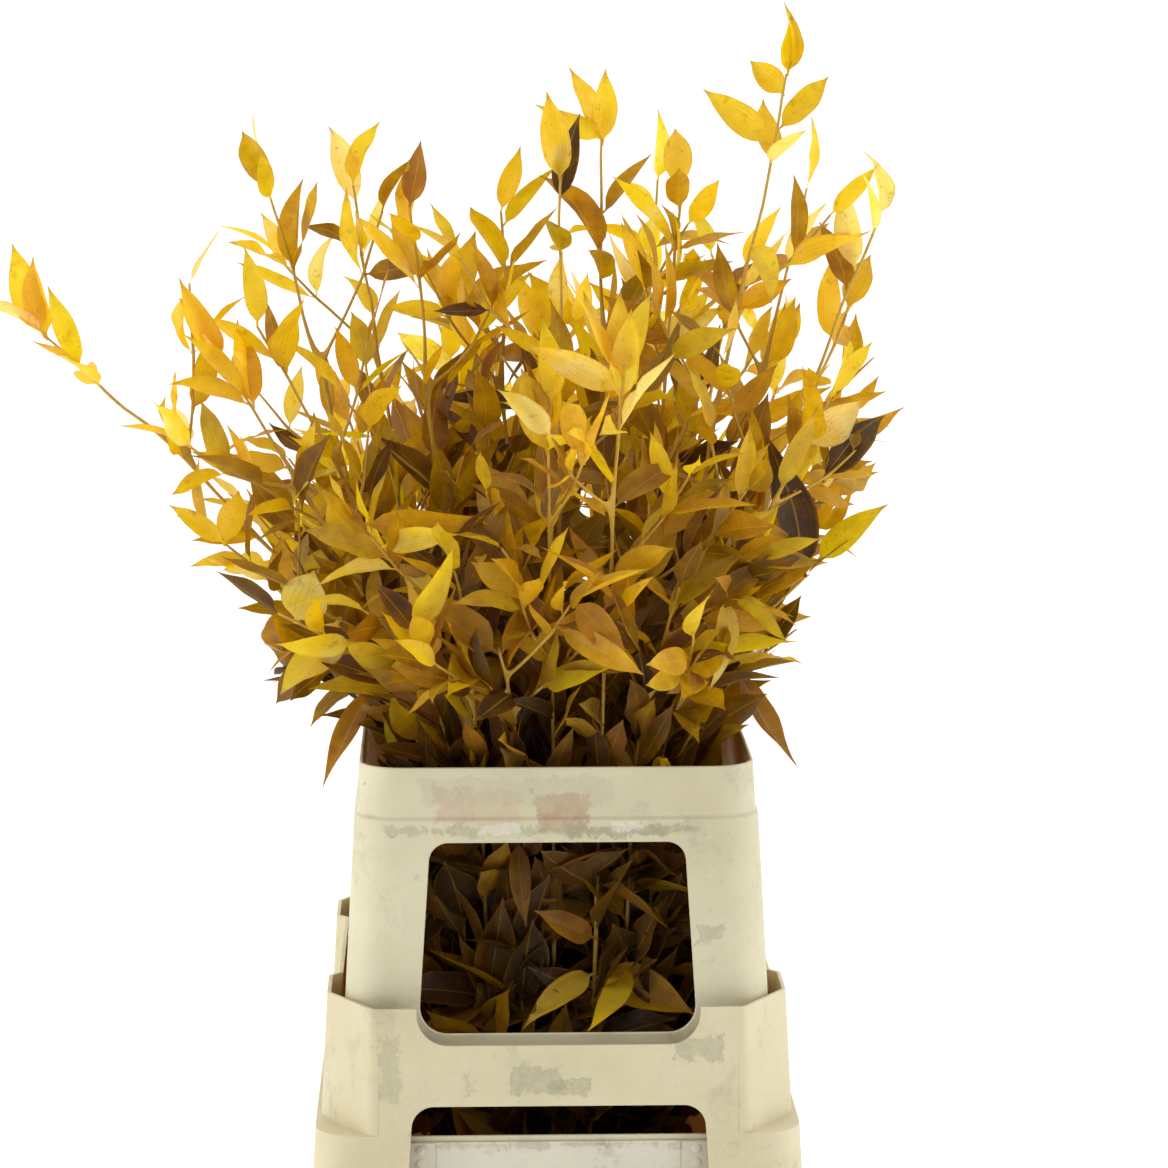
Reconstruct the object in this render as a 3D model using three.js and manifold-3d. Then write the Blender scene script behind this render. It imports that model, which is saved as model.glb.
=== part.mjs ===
// A bunch of preserved, dyed foliage standing upright in its trade holder:
// a bucket, two collars stacked on it, a card holder and the cut stems with their leaves.
// Millimetres, +Z up. The origin is the middle of the bucket's underside and the front faces -Y.
import * as THREE from "three";
import { mergeVertices } from "three/addons/utils/BufferGeometryUtils.js";
import Module from "manifold-3d";

const wasm = await Module();
wasm.setup();

// Driving dimensions of the holder
const GAP = 0.3;
const WALL = 2.4;
const LEAN = 0.055; // how far the walls spread per millimetre of drop
const BUCKET = { rim: 254.8, floor: 3, bottom: [127, 152], top: [149, 172], corner: 30 };
const LOWER = { bottom: 198, ledge: 257.5, rim: 338, half: [153.5, 177.2], corner: 28 };
const POCKET = { frontHalf: 117, outerX: 146, sideX: 139.6, chamfer: 46, length: 46, back: 7 };
const RIB = { height: 3, inset: 6.8 };
const UPPER = { bottom: 298, step: 453, rim: 486, half: [136.6, 160.5], stepIn: 1.5, corner: 27 };
const UPPER_WINDOW = { top: 438.5, topHalf: 80, bottom: 317.5, bottomHalf: 88, radii: [12, 17] };
const NOTCH = { top: 350, bottom: 314.5, half: 89, radius: 20 };
const LOWER_WINDOW = { top: 276, topHalf: 91.5, bottom: 209, bottomHalf: 96, radii: [14, 17] };
const CARD = { half: 99, bottom: 206, top: 251, thick: 1.5, studX: 87, studRadius: 3.2, studOut: 1.1 };
const CARD_STUD_Z = [246, 237];

// Driving dimensions of the stems
const FOOT = BUCKET.floor + GAP;
const STEM_RADII = [1.8, 0.7]; // at the foot and at the tip
const SIDE_RADII = [0.85, 0.65];
const WAIST = { z: 255, share: 0.8 };
const FOOT_SHARE = 0.55;
const MOUTH = { z: 498, x: 108, y: 132, reach: 130, spacing: 25, rounds: 200 };
const NODE_LENGTH = 3.4;
const END_ROOM = 46; // what the end leaf takes of a stem's way to its tip
const BOW = 0.05;
const LOW_BOW = 0.25;
const STEM_ATTEMPTS = 60;
const TURN_HEIGHTS = [120, 250, 498];
const CROWN_NODES = [0.05, 0.25, 0.45, 0.66, 0.87];
const NODE_JITTER = 0.025;
const SHOOT_NODES = [1, 2, 3]; // of the crown's nodes, those that carry a side shoot
const WINDOW_NODES = [[470, 490], [400, 465], [305, 370]];
const WINDOW_ROW = 50; // stems further from the middle than this show in both windows
const SIDE_SHOOT = { lengths: [70, 115], leafNode: 0.62, turn: 0.14, swing: 0.6, lift: 0.5, attempts: 14 };

// Driving dimensions of the leaves
const LEAF_THICK = 1.1;
const LEAF_WIDEST = 0.42;
const LEAF_BREADTH = [0.3, 0.42];
const LEAF_SWING = 0.75;
const LEAF_ROLL = 1.1;
const LEAF_ATTEMPTS = 40;
const LEAF_SHRINK = 0.35; // how much of its length a leaf gives up over the attempts
const STEM_LEAF = { lengths: [46, 66], spread: [0.45, 1.15] };
const SIDE_LEAF = { lengths: [40, 58], spread: [0.4, 1.05] };
const STEM_END_LEAF = { lengths: [44, 56], spread: [0, 0.55] };
const SIDE_END_LEAF = { lengths: [38, 52], spread: [0, 0.55] };

// Room that is kept between what grows
const LEAF_CLEARANCE = 1.3;
const SHOOT_CLEARANCE = 1.5;
const OWN_CLEARANCE = 0.4;
const BASE_TRIM = 6; // this close to its own shoot a leaf may touch it
const OWN_START = 9; // and a side shoot this close to its stem
const STALK = { length: 12, radius: 1.5 };
const SAME_NODE = 12;
const STEP = 5;
const INNER_LIMIT = { x: 115, y: 142, corner: 1.82 };
const OUTSIDE = { x: 134, lowest: 420 };
const RIM_CLEARANCE = 7;

// Where the leaves at the ends of the stems reach, chosen from the outline of the bunch.
const TIPS = [
  [-362, -40, 778],
  [-234, -80, 774],
  [-199, 20, 880],
  [-209, -60, 798],
  [-138, 60, 884],
  [-94, -20, 875],
  [-32, 80, 868],
  [4, -60, 893],
  [32, 20, 916],
  [78, 140, 886],
  [89, -20, 888],
  [158, -40, 958],
  [185, 80, 881],
  [226, -40, 866],
  [194, -90, 754],
  [214, 10, 706],
  [150, -70, 640],
  [-243, -60, 645],
  [-234, 60, 588],
  [-160, -140, 592],
  [-196, -60, 531],
  [-2, -180, 760],
  [42, -205, 778],
  [-79, -200, 637],
  [-38, -205, 571],
  [92, -190, 623],
  [116, -165, 570],
  [-66, 190, 821],
  [75, 210, 806],
  [-155, 170, 719],
  [182, 170, 753],
  [9, 120, 792],
  [148, 150, 823],
  [-117, 230, 653],
  [106, 236, 662],
  [-47, 0, 748],
  [34, 60, 763],
  [104, 40, 744],
  [-88, 70, 696],
  [-22, -80, 676],
  [60, -110, 690],
  [140, -20, 703],
  [-130, -10, 768],
  [-36, 236, 705],
];
const LOW_TIP = 640;

// How far the bunch spreads to the left and to the right at rising heights, as it is seen from the
// front, from this eye, against the upright plane through its middle.
const EYE = new THREE.Vector3(-63, -2689, 982);
const SPREAD = [
  [470, -167, 155],
  [490, -199, 156],
  [510, -196, 165],
  [550, -191, 170],
  [580, -198, 170],
  [597, -239, 184],
  [630, -250, 209],
  [650, -260, 219],
  [670, -289, 219],
  [709, -321, 220],
  [729, -345, 212],
  [749, -372, 200],
  [794, -372, 205],
  [810, -228, 216],
  [843, -226, 235],
  [865, -204, 230],
  [888, -200, 224],
  [900, -100, 216],
  [904, -8, 214],
  [923, 24, 180],
  [970, 120, 180],
];

const plastic = (color) => new THREE.MeshStandardMaterial({ color, roughness: 0.55, metalness: 0 });
const foliage = (color) => new THREE.MeshStandardMaterial({ color, roughness: 0.6, metalness: 0 });
const LEAF_COLOURS = ["#daba0a", "#cfaf32", "#d2a01a", "#906015", "#886c19", "#72552d"];

const part = new THREE.Group();

// Outlines in plan
function roundedRectangle([halfX, halfY], corner, steps = 3) {
  const points = [];
  for (let quarter = 0; quarter < 4; quarter += 1) {
    const signX = quarter === 0 || quarter === 3 ? 1 : -1;
    const signY = quarter < 2 ? 1 : -1;
    for (let step = 0; step <= steps; step += 1) {
      const angle = ((quarter + step / steps) * Math.PI) / 2;
      points.push([
        signX * (halfX - corner) + corner * Math.cos(angle),
        signY * (halfY - corner) + corner * Math.sin(angle),
      ]);
    }
  }
  return points;
}

// The lower collar above its ledge: flat front and back, and a pocket that stands out at each corner.
function pocketOutline() {
  const front = LOWER.half[1];
  const corner = [
    [POCKET.sideX, front - POCKET.chamfer - POCKET.length - POCKET.back],
    [POCKET.outerX, front - POCKET.chamfer - POCKET.length],
    [POCKET.outerX, front - POCKET.chamfer],
    [POCKET.frontHalf, front],
  ];
  const mirrored = [...corner].reverse().map(([x, y]) => [-x, y]);
  const back = [...corner, ...mirrored];
  return [...back, ...back.map(([x, y]) => [-x, -y])];
}

// Moves each side of a closed outline outwards by a distance, or inwards by a negative one.
function offsetOutline(outline, distance) {
  return outline.map((point, i) => {
    const before = outline[(i + outline.length - 1) % outline.length];
    const after = outline[(i + 1) % outline.length];
    const [ax, ay] = outward(before, point);
    const [bx, by] = outward(point, after);
    const stretch = distance / (1 + ax * bx + ay * by);
    return [point[0] + (ax + bx) * stretch, point[1] + (ay + by) * stretch];
  });
}

function outward(from, to) {
  const length = Math.hypot(to[0] - from[0], to[1] - from[1]);
  return [(to[1] - from[1]) / length, (from[0] - to[0]) / length];
}

// Solids
function solid(geometry) {
  const bare = geometry.clone();
  bare.deleteAttribute("normal");
  bare.deleteAttribute("uv");
  const merged = mergeVertices(bare, 1e-4);
  const vertProperties = new Float32Array(merged.attributes.position.array);
  const triVerts = new Uint32Array(merged.index.array);
  return new wasm.Manifold(new wasm.Mesh({ numProp: 3, vertProperties, triVerts }));
}

function addMesh(name, geometry, material) {
  const mesh = new THREE.Mesh(geometry, material);
  mesh.name = name;
  part.add(mesh);
}

function addSolid(name, made, material) {
  const { vertProperties, triVerts } = made.getMesh();
  const geometry = new THREE.BufferGeometry();
  geometry.setAttribute("position", new THREE.BufferAttribute(vertProperties, 3));
  geometry.setIndex(new THREE.BufferAttribute(triVerts, 1));
  geometry.computeVertexNormals();
  addMesh(name, geometry, material);
}

// A closed solid through outlines of equal length at rising heights.
function loft(levels) {
  const count = levels[0].outline.length;
  const positions = levels.flatMap(({ z, outline }) => outline.flatMap(([x, y]) => [x, y, z]));
  const index = [];
  for (let level = 0; level < levels.length - 1; level += 1) {
    for (let i = 0; i < count; i += 1) {
      const a = level * count + i;
      const b = level * count + ((i + 1) % count);
      index.push(a, b, b + count, a, b + count, a + count);
    }
  }
  const flat = levels[0].outline.map(([x, y]) => new THREE.Vector2(x, y));
  const last = (levels.length - 1) * count;
  for (const [a, b, c] of THREE.ShapeUtils.triangulateShape(flat, [])) {
    index.push(a, c, b, last + a, last + b, last + c);
  }
  const geometry = new THREE.BufferGeometry();
  geometry.setAttribute("position", new THREE.Float32BufferAttribute(positions, 3));
  geometry.setIndex(index);
  return solid(geometry);
}

// A cutter right through the front and back walls, from its corners [x, z, radius].
function windowCutter(corners) {
  const shape = new THREE.Shape();
  corners.forEach(([x, z, radius], i) => {
    const corner = new THREE.Vector2(x, z);
    const [beforeX, beforeZ] = corners[(i + corners.length - 1) % corners.length];
    const [afterX, afterZ] = corners[(i + 1) % corners.length];
    const start = new THREE.Vector2(beforeX, beforeZ).sub(corner).setLength(radius).add(corner);
    const end = new THREE.Vector2(afterX, afterZ).sub(corner).setLength(radius).add(corner);
    if (i === 0) shape.moveTo(start.x, start.y);
    else shape.lineTo(start.x, start.y);
    shape.quadraticCurveTo(x, z, end.x, end.y);
  });
  const depth = 2 * (LOWER.half[1] + 40);
  const geometry = new THREE.ExtrudeGeometry(shape, { depth, bevelEnabled: false, curveSegments: 5 });
  geometry.rotateX(Math.PI / 2);
  geometry.translate(0, depth / 2, 0);
  return solid(geometry);
}

function windowCorners({ top, topHalf, bottom, bottomHalf, radii }) {
  return [
    [-bottomHalf, bottom, radii[1]],
    [bottomHalf, bottom, radii[1]],
    [topHalf, top, radii[0]],
    [-topHalf, top, radii[0]],
  ];
}

// The bucket
function makeBucket() {
  const inset = (half) => half.map((size) => size - WALL);
  const slope = (level) => BUCKET.top.map((size, i) => {
    return BUCKET.bottom[i] + ((size - BUCKET.bottom[i]) * level) / BUCKET.rim;
  });
  const outer = loft([
    { z: 0, outline: roundedRectangle(BUCKET.bottom, BUCKET.corner) },
    { z: BUCKET.rim, outline: roundedRectangle(BUCKET.top, BUCKET.corner) },
  ]);
  const inner = loft([
    { z: BUCKET.floor, outline: roundedRectangle(inset(slope(BUCKET.floor)), BUCKET.corner - WALL) },
    { z: BUCKET.rim + 1, outline: roundedRectangle(inset(slope(BUCKET.rim + 1)), BUCKET.corner - WALL) },
  ]);
  addSolid("bucket", outer.subtract(inner), plastic("#c2bd9f"));
}

// The card holder: a blank plate that lies on the bucket's front wall, with two studs at each end
function makeCardHolder() {
  const wallY = (z) => BUCKET.bottom[1] + ((BUCKET.top[1] - BUCKET.bottom[1]) * z) / BUCKET.rim;
  const strip = (z) => {
    const near = -(wallY(z) + GAP);
    return [
      [-CARD.half, near - CARD.thick],
      [CARD.half, near - CARD.thick],
      [CARD.half, near],
      [-CARD.half, near],
    ];
  };
  let plate = loft([
    { z: CARD.bottom, outline: strip(CARD.bottom) },
    { z: CARD.top, outline: strip(CARD.top) },
  ]);
  for (const side of [-1, 1]) {
    for (const z of CARD_STUD_Z) {
      const stud = new THREE.CylinderGeometry(CARD.studRadius, CARD.studRadius, 2 * CARD.studOut, 10);
      stud.translate(side * CARD.studX, -(wallY(z) + GAP + CARD.thick), z);
      plate = plate.add(solid(stud));
    }
  }
  addSolid("card_holder", plate, plastic("#e7e3c5"));
}

// The lower collar: a skirt round the bucket, a ledge on the bucket's rim and the pocketed upper wall
function makeLowerCollar() {
  const pocketed = (z, inset) => offsetOutline(pocketOutline(), LEAN * (LOWER.rim - z) - inset);
  const skirtHalf = (z) => [
    LOWER.half[0] + LEAN * (LOWER.ledge - z),
    LOWER.half[1] + LEAN * (LOWER.rim - z),
  ];
  const skirt = (z, inset) => {
    const half = skirtHalf(z).map((size) => size - inset);
    return roundedRectangle(half, LOWER.corner - inset);
  };
  const upperWall = (from, to, inset) => loft([
    { z: from, outline: pocketed(from, inset) },
    { z: to, outline: pocketed(to, inset) },
  ]);
  const skirtWall = (from, to, inset) => loft([
    { z: from, outline: skirt(from, inset) },
    { z: to, outline: skirt(to, inset) },
  ]);
  const ribTop = UPPER.bottom - GAP;
  const underLedge = LOWER.ledge - WALL;
  const notch = [
    [-NOTCH.half, NOTCH.bottom, NOTCH.radius],
    [NOTCH.half, NOTCH.bottom, NOTCH.radius],
    [NOTCH.half, NOTCH.top, 1],
    [-NOTCH.half, NOTCH.top, 1],
  ];
  const made = skirtWall(LOWER.bottom, LOWER.ledge, 0)
    .add(upperWall(LOWER.ledge - 1, LOWER.rim, 0))
    .subtract(upperWall(ribTop, LOWER.rim + 1, WALL))
    .subtract(upperWall(ribTop - RIB.height - 1, ribTop + 1, RIB.inset))
    .subtract(upperWall(underLedge - 1, ribTop - RIB.height, WALL))
    .subtract(skirtWall(LOWER.bottom - 1, underLedge, WALL))
    .subtract(windowCutter(notch))
    .subtract(windowCutter(windowCorners(LOWER_WINDOW)));
  addSolid("lower_collar", made, plastic("#c4b99b"));
}

// The upper collar: it stands on the rib inside the lower one
function makeUpperCollar() {
  const half = (z, stepIn) => UPPER.half.map((size) => size - LEAN * (z - UPPER.bottom) - stepIn);
  const level = (z, stepIn, inset) => {
    const size = half(z, stepIn).map((value) => value - inset);
    return { z, outline: roundedRectangle(size, UPPER.corner - inset) };
  };
  const shell = (inset, over) => loft([
    level(UPPER.bottom - over, 0, inset),
    level(UPPER.step, 0, inset),
    level(UPPER.step + 1.5, UPPER.stepIn, inset),
    level(UPPER.rim + over, UPPER.stepIn, inset),
  ]);
  const made = shell(0, 0)
    .subtract(shell(WALL, 1))
    .subtract(windowCutter(windowCorners(UPPER_WINDOW)));
  addSolid("upper_collar", made, plastic("#c6c1a3"));
}

// Repeatable variety: each call gives the next number between low and high.
let draws = 0;
function draw(low, high) {
  draws += 1;
  const wave = Math.sin(draws * 12.9898) * 43758.5453;
  return low + (high - low) * (wave - Math.floor(wave));
}

// The space that is taken: shoots as thick segments, leaves as flat kites.
const segments = [];
const leaves = [];

function makeKite(base, direction, width, length, breadth) {
  const middle = base.clone().addScaledVector(direction, LEAF_WIDEST * length);
  const corners = [
    base.clone(),
    middle.clone().addScaledVector(width, breadth / 2),
    base.clone().addScaledVector(direction, length),
    middle.clone().addScaledVector(width, -breadth / 2),
  ];
  const normal = width.clone().cross(direction).normalize();
  const planes = corners.map((corner, i) => {
    const side = corners[(i + 1) % corners.length].clone().sub(corner);
    const out = side.cross(normal).normalize();
    if (out.dot(middle.clone().sub(corner)) > 0) out.negate();
    return { out, at: corner };
  });
  planes.push({ out: normal, at: middle }, { out: normal.clone().negate(), at: middle });
  return { corners, planes, middle, reach: middle.distanceTo(corners[2]) };
}

// Whether the segment a-b comes within the margin of a kite.
function meetsKite(a, b, kite, margin) {
  let start = 0;
  let end = 1;
  for (const { out, at } of kite.planes) {
    const fromA = (a.x - at.x) * out.x + (a.y - at.y) * out.y + (a.z - at.z) * out.z - margin;
    const fromB = (b.x - at.x) * out.x + (b.y - at.y) * out.y + (b.z - at.z) * out.z - margin;
    if (fromA > 0 && fromB > 0) return false;
    if (fromA > 0) start = Math.max(start, fromA / (fromA - fromB));
    if (fromB > 0) end = Math.min(end, fromA / (fromA - fromB));
  }
  return start < end;
}

function edgesMeet(one, other, margin) {
  const { corners } = one;
  if (meetsKite(corners[0], corners[2], other, margin)) return true;
  return corners.some((corner, i) => meetsKite(corner, corners[(i + 1) % 4], other, margin));
}

function kitesMeet(one, other, clearance) {
  if (one.middle.distanceTo(other.middle) > one.reach + other.reach + clearance) return false;
  return edgesMeet(one, other, clearance) || edgesMeet(other, one, clearance);
}

// Two leaves from one node start close together, so they are compared from a little way out.
function leavesMeet(one, other) {
  if (one.owner === other.owner && one.base.distanceTo(other.base) < SAME_NODE) {
    return kitesMeet(one.trimmed, other.trimmed, OWN_CLEARANCE);
  }
  const margin = STALK.radius + LEAF_THICK / 2;
  if (meetsKite(one.base, one.stalkEnd, other.kite, margin)) return true;
  return kitesMeet(one.kite, other.kite, LEAF_CLEARANCE);
}

function clearOfHolder(point) {
  const { x, y, z } = point;
  if (z > UPPER.rim + RIM_CLEARANCE) return true;
  if (Math.abs(x) > OUTSIDE.x && z > OUTSIDE.lowest) return true;
  if (z < WAIST.z + RIM_CLEARANCE) return false;
  const across = Math.abs(x) / INNER_LIMIT.x;
  const deep = Math.abs(y) / INNER_LIMIT.y;
  return across < 1 && deep < 1 && across + deep < INNER_LIMIT.corner;
}

function insideSpread(point) {
  const { x, z } = point.clone().sub(EYE).multiplyScalar(EYE.y / (EYE.y - point.y)).add(EYE);
  const above = SPREAD.findIndex(([height]) => height > z);
  if (above < 1) return z < SPREAD[0][0];
  const [low, lowLeft, lowRight] = SPREAD[above - 1];
  const [high, highLeft, highRight] = SPREAD[above];
  const share = (z - low) / (high - low);
  const left = THREE.MathUtils.lerp(lowLeft, highLeft, share);
  const right = THREE.MathUtils.lerp(lowRight, highRight, share);
  return x > left && x < right;
}

function kiteClearOfHolder({ corners }) {
  for (let i = 0; i < corners.length; i += 1) {
    for (const share of [0, 0.2, 0.4, 0.6, 0.8]) {
      const point = corners[i].clone().lerp(corners[(i + 1) % corners.length], share);
      if (!clearOfHolder(point)) return false;
    }
  }
  return true;
}

function leafIsFree(leaf) {
  if (!insideSpread(leaf.kite.corners[2]) || !kiteClearOfHolder(leaf.kite)) return false;
  if (leaves.some((other) => leavesMeet(leaf, other))) return false;
  return !segments.some((segment) => {
    const far = leaf.kite.reach + segment.half + STEP;
    if (segment.middle.distanceTo(leaf.kite.middle) > far) return false;
    const own = segment.owner === leaf.owner;
    const margin = segment.radius + (own ? OWN_CLEARANCE : LEAF_CLEARANCE);
    return meetsKite(segment.a, segment.b, own ? leaf.trimmed : leaf.kite, margin);
  });
}

function routeIsFree(line, reach, ownStart) {
  return closeSteps(line).every((point) => {
    if (!clearOfHolder(point)) return false;
    if (ownStart && point.distanceTo(ownStart) < OWN_START) return true;
    return segments.every((segment) => {
      if (segment.middle.distanceTo(point) > segment.half + 2 * STEP) return true;
      const near = segment.line.closestPointToPoint(point, true, new THREE.Vector3());
      return near.distanceTo(point) > reach + segment.radius + SHOOT_CLEARANCE;
    });
  });
}

function takeSegment(a, b, radius, owner) {
  const middle = a.clone().lerp(b, 0.5);
  segments.push({ a, b, middle, half: a.distanceTo(b) / 2, line: new THREE.Line3(a, b), radius, owner });
}

// The corners of a shoot's square section stand out by the root of two.
function takeRoute(line, radii, owner) {
  line.slice(1).forEach((point, i) => {
    const radius = THREE.MathUtils.lerp(radii[0], radii[1], i / line.length);
    takeSegment(line[i], point, radius * Math.SQRT2, owner);
  });
}

// Points at most a few millimetres apart along a line of straight lengths.
function closeSteps(line) {
  return line.slice(1).flatMap((point, i) => {
    const steps = Math.ceil(line[i].distanceTo(point) / STEP);
    return Array.from({ length: steps }, (_, step) => line[i].clone().lerp(point, (step + 1) / steps));
  });
}

// The places along a curve where its skin has a ring: the turns, and both ends of each node.
function ringStations(curve, nodeShares, turns) {
  const short = NODE_LENGTH / curve.getLength();
  const stations = [...turns, 1].map((share) => ({ share, opens: false }));
  for (const share of nodeShares) {
    stations.push({ share: share - short, opens: true }, { share, opens: false });
  }
  return stations.sort((one, other) => one.share - other.share);
}

function centreLine(curve, stations) {
  return [0, ...stations.map(({ share }) => share)].map((share) => curve.getPointAt(share));
}

// A closed skin of four-sided rings, which grows shoots and leaves out of its own faces.
class Skin {
  constructor() {
    this.points = [];
    this.faces = [];
  }

  ring(centre, across, up, radius) {
    const signs = [[1, 1], [-1, 1], [-1, -1], [1, -1]];
    return signs.map(([a, b]) => {
      const point = centre.clone().addScaledVector(across, a * radius).addScaledVector(up, b * radius);
      return this.points.push(point) - 1;
    });
  }

  band(lower, upper) {
    return lower.map((_, side) => {
      const next = (side + 1) % lower.length;
      return this.faces.push([lower[side], lower[next], upper[next], upper[side]]) - 1;
    });
  }

  open(face) {
    const ring = this.faces[face];
    this.faces[face] = null;
    return ring;
  }

  centre(ring) {
    const sum = ring.reduce((total, i) => total.add(this.points[i]), new THREE.Vector3());
    return sum.divideScalar(ring.length);
  }

  geometry() {
    const positions = this.points.flatMap((point) => point.toArray());
    const index = this.faces.filter(Boolean).flatMap(([a, b, c, d]) => {
      return d === undefined ? [a, b, c] : [a, b, c, a, c, d];
    });
    const geometry = new THREE.BufferGeometry();
    geometry.setAttribute("position", new THREE.Float32BufferAttribute(positions, 3));
    geometry.setIndex(index);
    geometry.computeVertexNormals();
    return geometry;
  }
}

// Grows a shoot from an open ring along a curve, with a short length of its own at each node.
function growShoot(skin, startRing, curve, stations, frame, radii) {
  let lower = startRing;
  let across = frame.clone();
  let opens = false;
  const nodes = [];
  for (const station of stations) {
    const along = curve.getTangentAt(station.share);
    across = across.addScaledVector(along, -across.dot(along)).normalize();
    const up = along.clone().cross(across);
    const radius = THREE.MathUtils.lerp(radii[0], radii[1], station.share);
    const upper = skin.ring(curve.getPointAt(station.share), across, up, radius);
    const sides = skin.band(lower, upper);
    if (opens) nodes.push({ sides, along });
    opens = station.opens;
    lower = upper;
  }
  return { nodes, end: lower, along: curve.getTangentAt(1) };
}

// Joins an open ring of the skin to a leaf: four faces to its widest place and four to its tip.
function skinLeaf(skin, ring, leaf) {
  const { direction, width, length, breadth, base } = leaf;
  const normal = direction.clone().cross(width).normalize();
  const middle = base.clone().addScaledVector(direction, LEAF_WIDEST * length);
  const outline = [
    width.clone().multiplyScalar(breadth / 2),
    normal.clone().multiplyScalar(LEAF_THICK / 2),
    width.clone().multiplyScalar(-breadth / 2),
    normal.clone().multiplyScalar(-LEAF_THICK / 2),
  ];
  const spokes = ring.map((i) => skin.points[i].clone().sub(base).normalize());
  const fit = (shift) => spokes.reduce((sum, spoke, i) => {
    return sum + spoke.dot(outline[(i + shift) % 4].clone().normalize());
  }, 0);
  const shift = [0, 1, 2, 3].reduce((best, trial) => (fit(trial) > fit(best) ? trial : best));
  const widest = ring.map((_, i) => {
    return skin.points.push(middle.clone().add(outline[(i + shift) % 4])) - 1;
  });
  skin.band(ring, widest);
  const tip = skin.points.push(base.clone().addScaledVector(direction, length)) - 1;
  widest.forEach((point, i) => skin.faces.push([point, widest[(i + 1) % 4], tip]));
}

// Looks for a place where a leaf from this base is clear of everything that has grown before.
function findLeaf(base, along, side, { lengths, spread }, owner) {
  for (let attempt = 0; attempt < LEAF_ATTEMPTS; attempt += 1) {
    const shrink = 1 - (LEAF_SHRINK * attempt) / LEAF_ATTEMPTS;
    const length = draw(...lengths) * shrink;
    const breadth = length * draw(...LEAF_BREADTH);
    const turned = side.clone().applyAxisAngle(along, draw(-LEAF_SWING, LEAF_SWING));
    const angle = draw(...spread);
    const direction = along.clone().multiplyScalar(Math.cos(angle));
    direction.addScaledVector(turned, Math.sin(angle)).normalize();
    const flat = direction.clone().cross(along.clone().addScaledVector(side, -0.4)).normalize();
    const width = flat.applyAxisAngle(direction, draw(-LEAF_ROLL, LEAF_ROLL));
    const kite = makeKite(base, direction, width, length, breadth);
    const start = base.clone().addScaledVector(direction, BASE_TRIM);
    const trimmed = makeKite(start, direction, width, length - BASE_TRIM, breadth * 0.9);
    const stalkEnd = base.clone().addScaledVector(direction, STALK.length);
    const leaf = { base, direction, width, length, breadth, kite, trimmed, stalkEnd, owner };
    if (leafIsFree(leaf)) {
      leaves.push(leaf);
      takeSegment(base, stalkEnd, STALK.radius, owner);
      return leaf;
    }
  }
  return null;
}

function growLeaf(skin, face, along, kind, owner) {
  const ring = skin.faces[face];
  const base = skin.centre(ring);
  const [a, b, c] = ring.map((i) => skin.points[i]);
  const side = b.clone().sub(a).cross(c.clone().sub(b)).normalize();
  const leaf = findLeaf(base, along, side, kind, owner);
  if (leaf) skinLeaf(skin, skin.open(face), leaf);
}

function growEndLeaf(skin, ring, along, kind, owner) {
  const base = skin.centre(ring);
  const side = skin.points[ring[0]].clone().sub(base).normalize();
  const leaf = findLeaf(base, along, side, kind, owner);
  if (leaf) skinLeaf(skin, ring, leaf);
  else skin.faces.push(ring);
}

// A side shoot leaves a node's face and bends upwards.
function planSideShoot(base, side, along, owner) {
  for (let attempt = 0; attempt < SIDE_SHOOT.attempts; attempt += 1) {
    const shrink = 1 - (LEAF_SHRINK * attempt) / SIDE_SHOOT.attempts;
    const length = draw(...SIDE_SHOOT.lengths) * shrink;
    const turned = side.clone().applyAxisAngle(along, draw(-SIDE_SHOOT.swing, SIDE_SHOOT.swing));
    const start = along.clone().multiplyScalar(draw(0.6, 1)).add(turned).normalize();
    const late = along.clone().multiplyScalar(1.4).add(turned).normalize();
    late.z += SIDE_SHOOT.lift / 2;
    late.normalize();
    const bend = base.clone().addScaledVector(start, length / 2);
    const end = bend.clone().addScaledVector(late, length / 2);
    const curve = new THREE.QuadraticBezierCurve3(base.clone(), bend, end);
    const stations = ringStations(curve, [SIDE_SHOOT.leafNode], [SIDE_SHOOT.turn]);
    const line = centreLine(curve, stations);
    if (insideSpread(end) && routeIsFree(line, SIDE_RADII[0] * Math.SQRT2, base)) {
      takeRoute(line, SIDE_RADII, owner);
      return { curve, stations };
    }
  }
  return null;
}

function growSideShoot(skin, node, sideIndex, owner) {
  const face = node.sides[sideIndex];
  const ring = skin.faces[face];
  const base = skin.centre(ring);
  const [a, b, c, d] = ring.map((i) => skin.points[i]);
  const side = b.clone().sub(a).cross(c.clone().sub(b)).normalize();
  const plan = planSideShoot(base, side, node.along, owner);
  if (!plan) return null;
  skin.open(face);
  const frame = a.clone().add(d).sub(b).sub(c).normalize();
  return growShoot(skin, ring, plan.curve, plan.stations, frame, SIDE_RADII);
}

// Where each stem passes the holder's mouth: the tips drawn together, then eased apart.
function mouthPlaces() {
  const places = TIPS.map(([x, y]) => {
    return new THREE.Vector2(MOUTH.x * Math.tanh(x / MOUTH.reach), MOUTH.y * Math.tanh(y / MOUTH.reach));
  });
  for (let round = 0; round < MOUTH.rounds; round += 1) {
    places.forEach((place, i) => {
      for (const other of places.slice(i + 1)) {
        const apart = other.clone().sub(place);
        const lack = MOUTH.spacing - apart.length();
        if (lack <= 0) continue;
        apart.setLength(lack / 2);
        other.add(apart);
        place.sub(apart);
      }
      const reach = Math.hypot(place.x / MOUTH.x, place.y / MOUTH.y);
      if (reach > 1) place.divideScalar(reach);
    });
  }
  return places;
}

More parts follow.
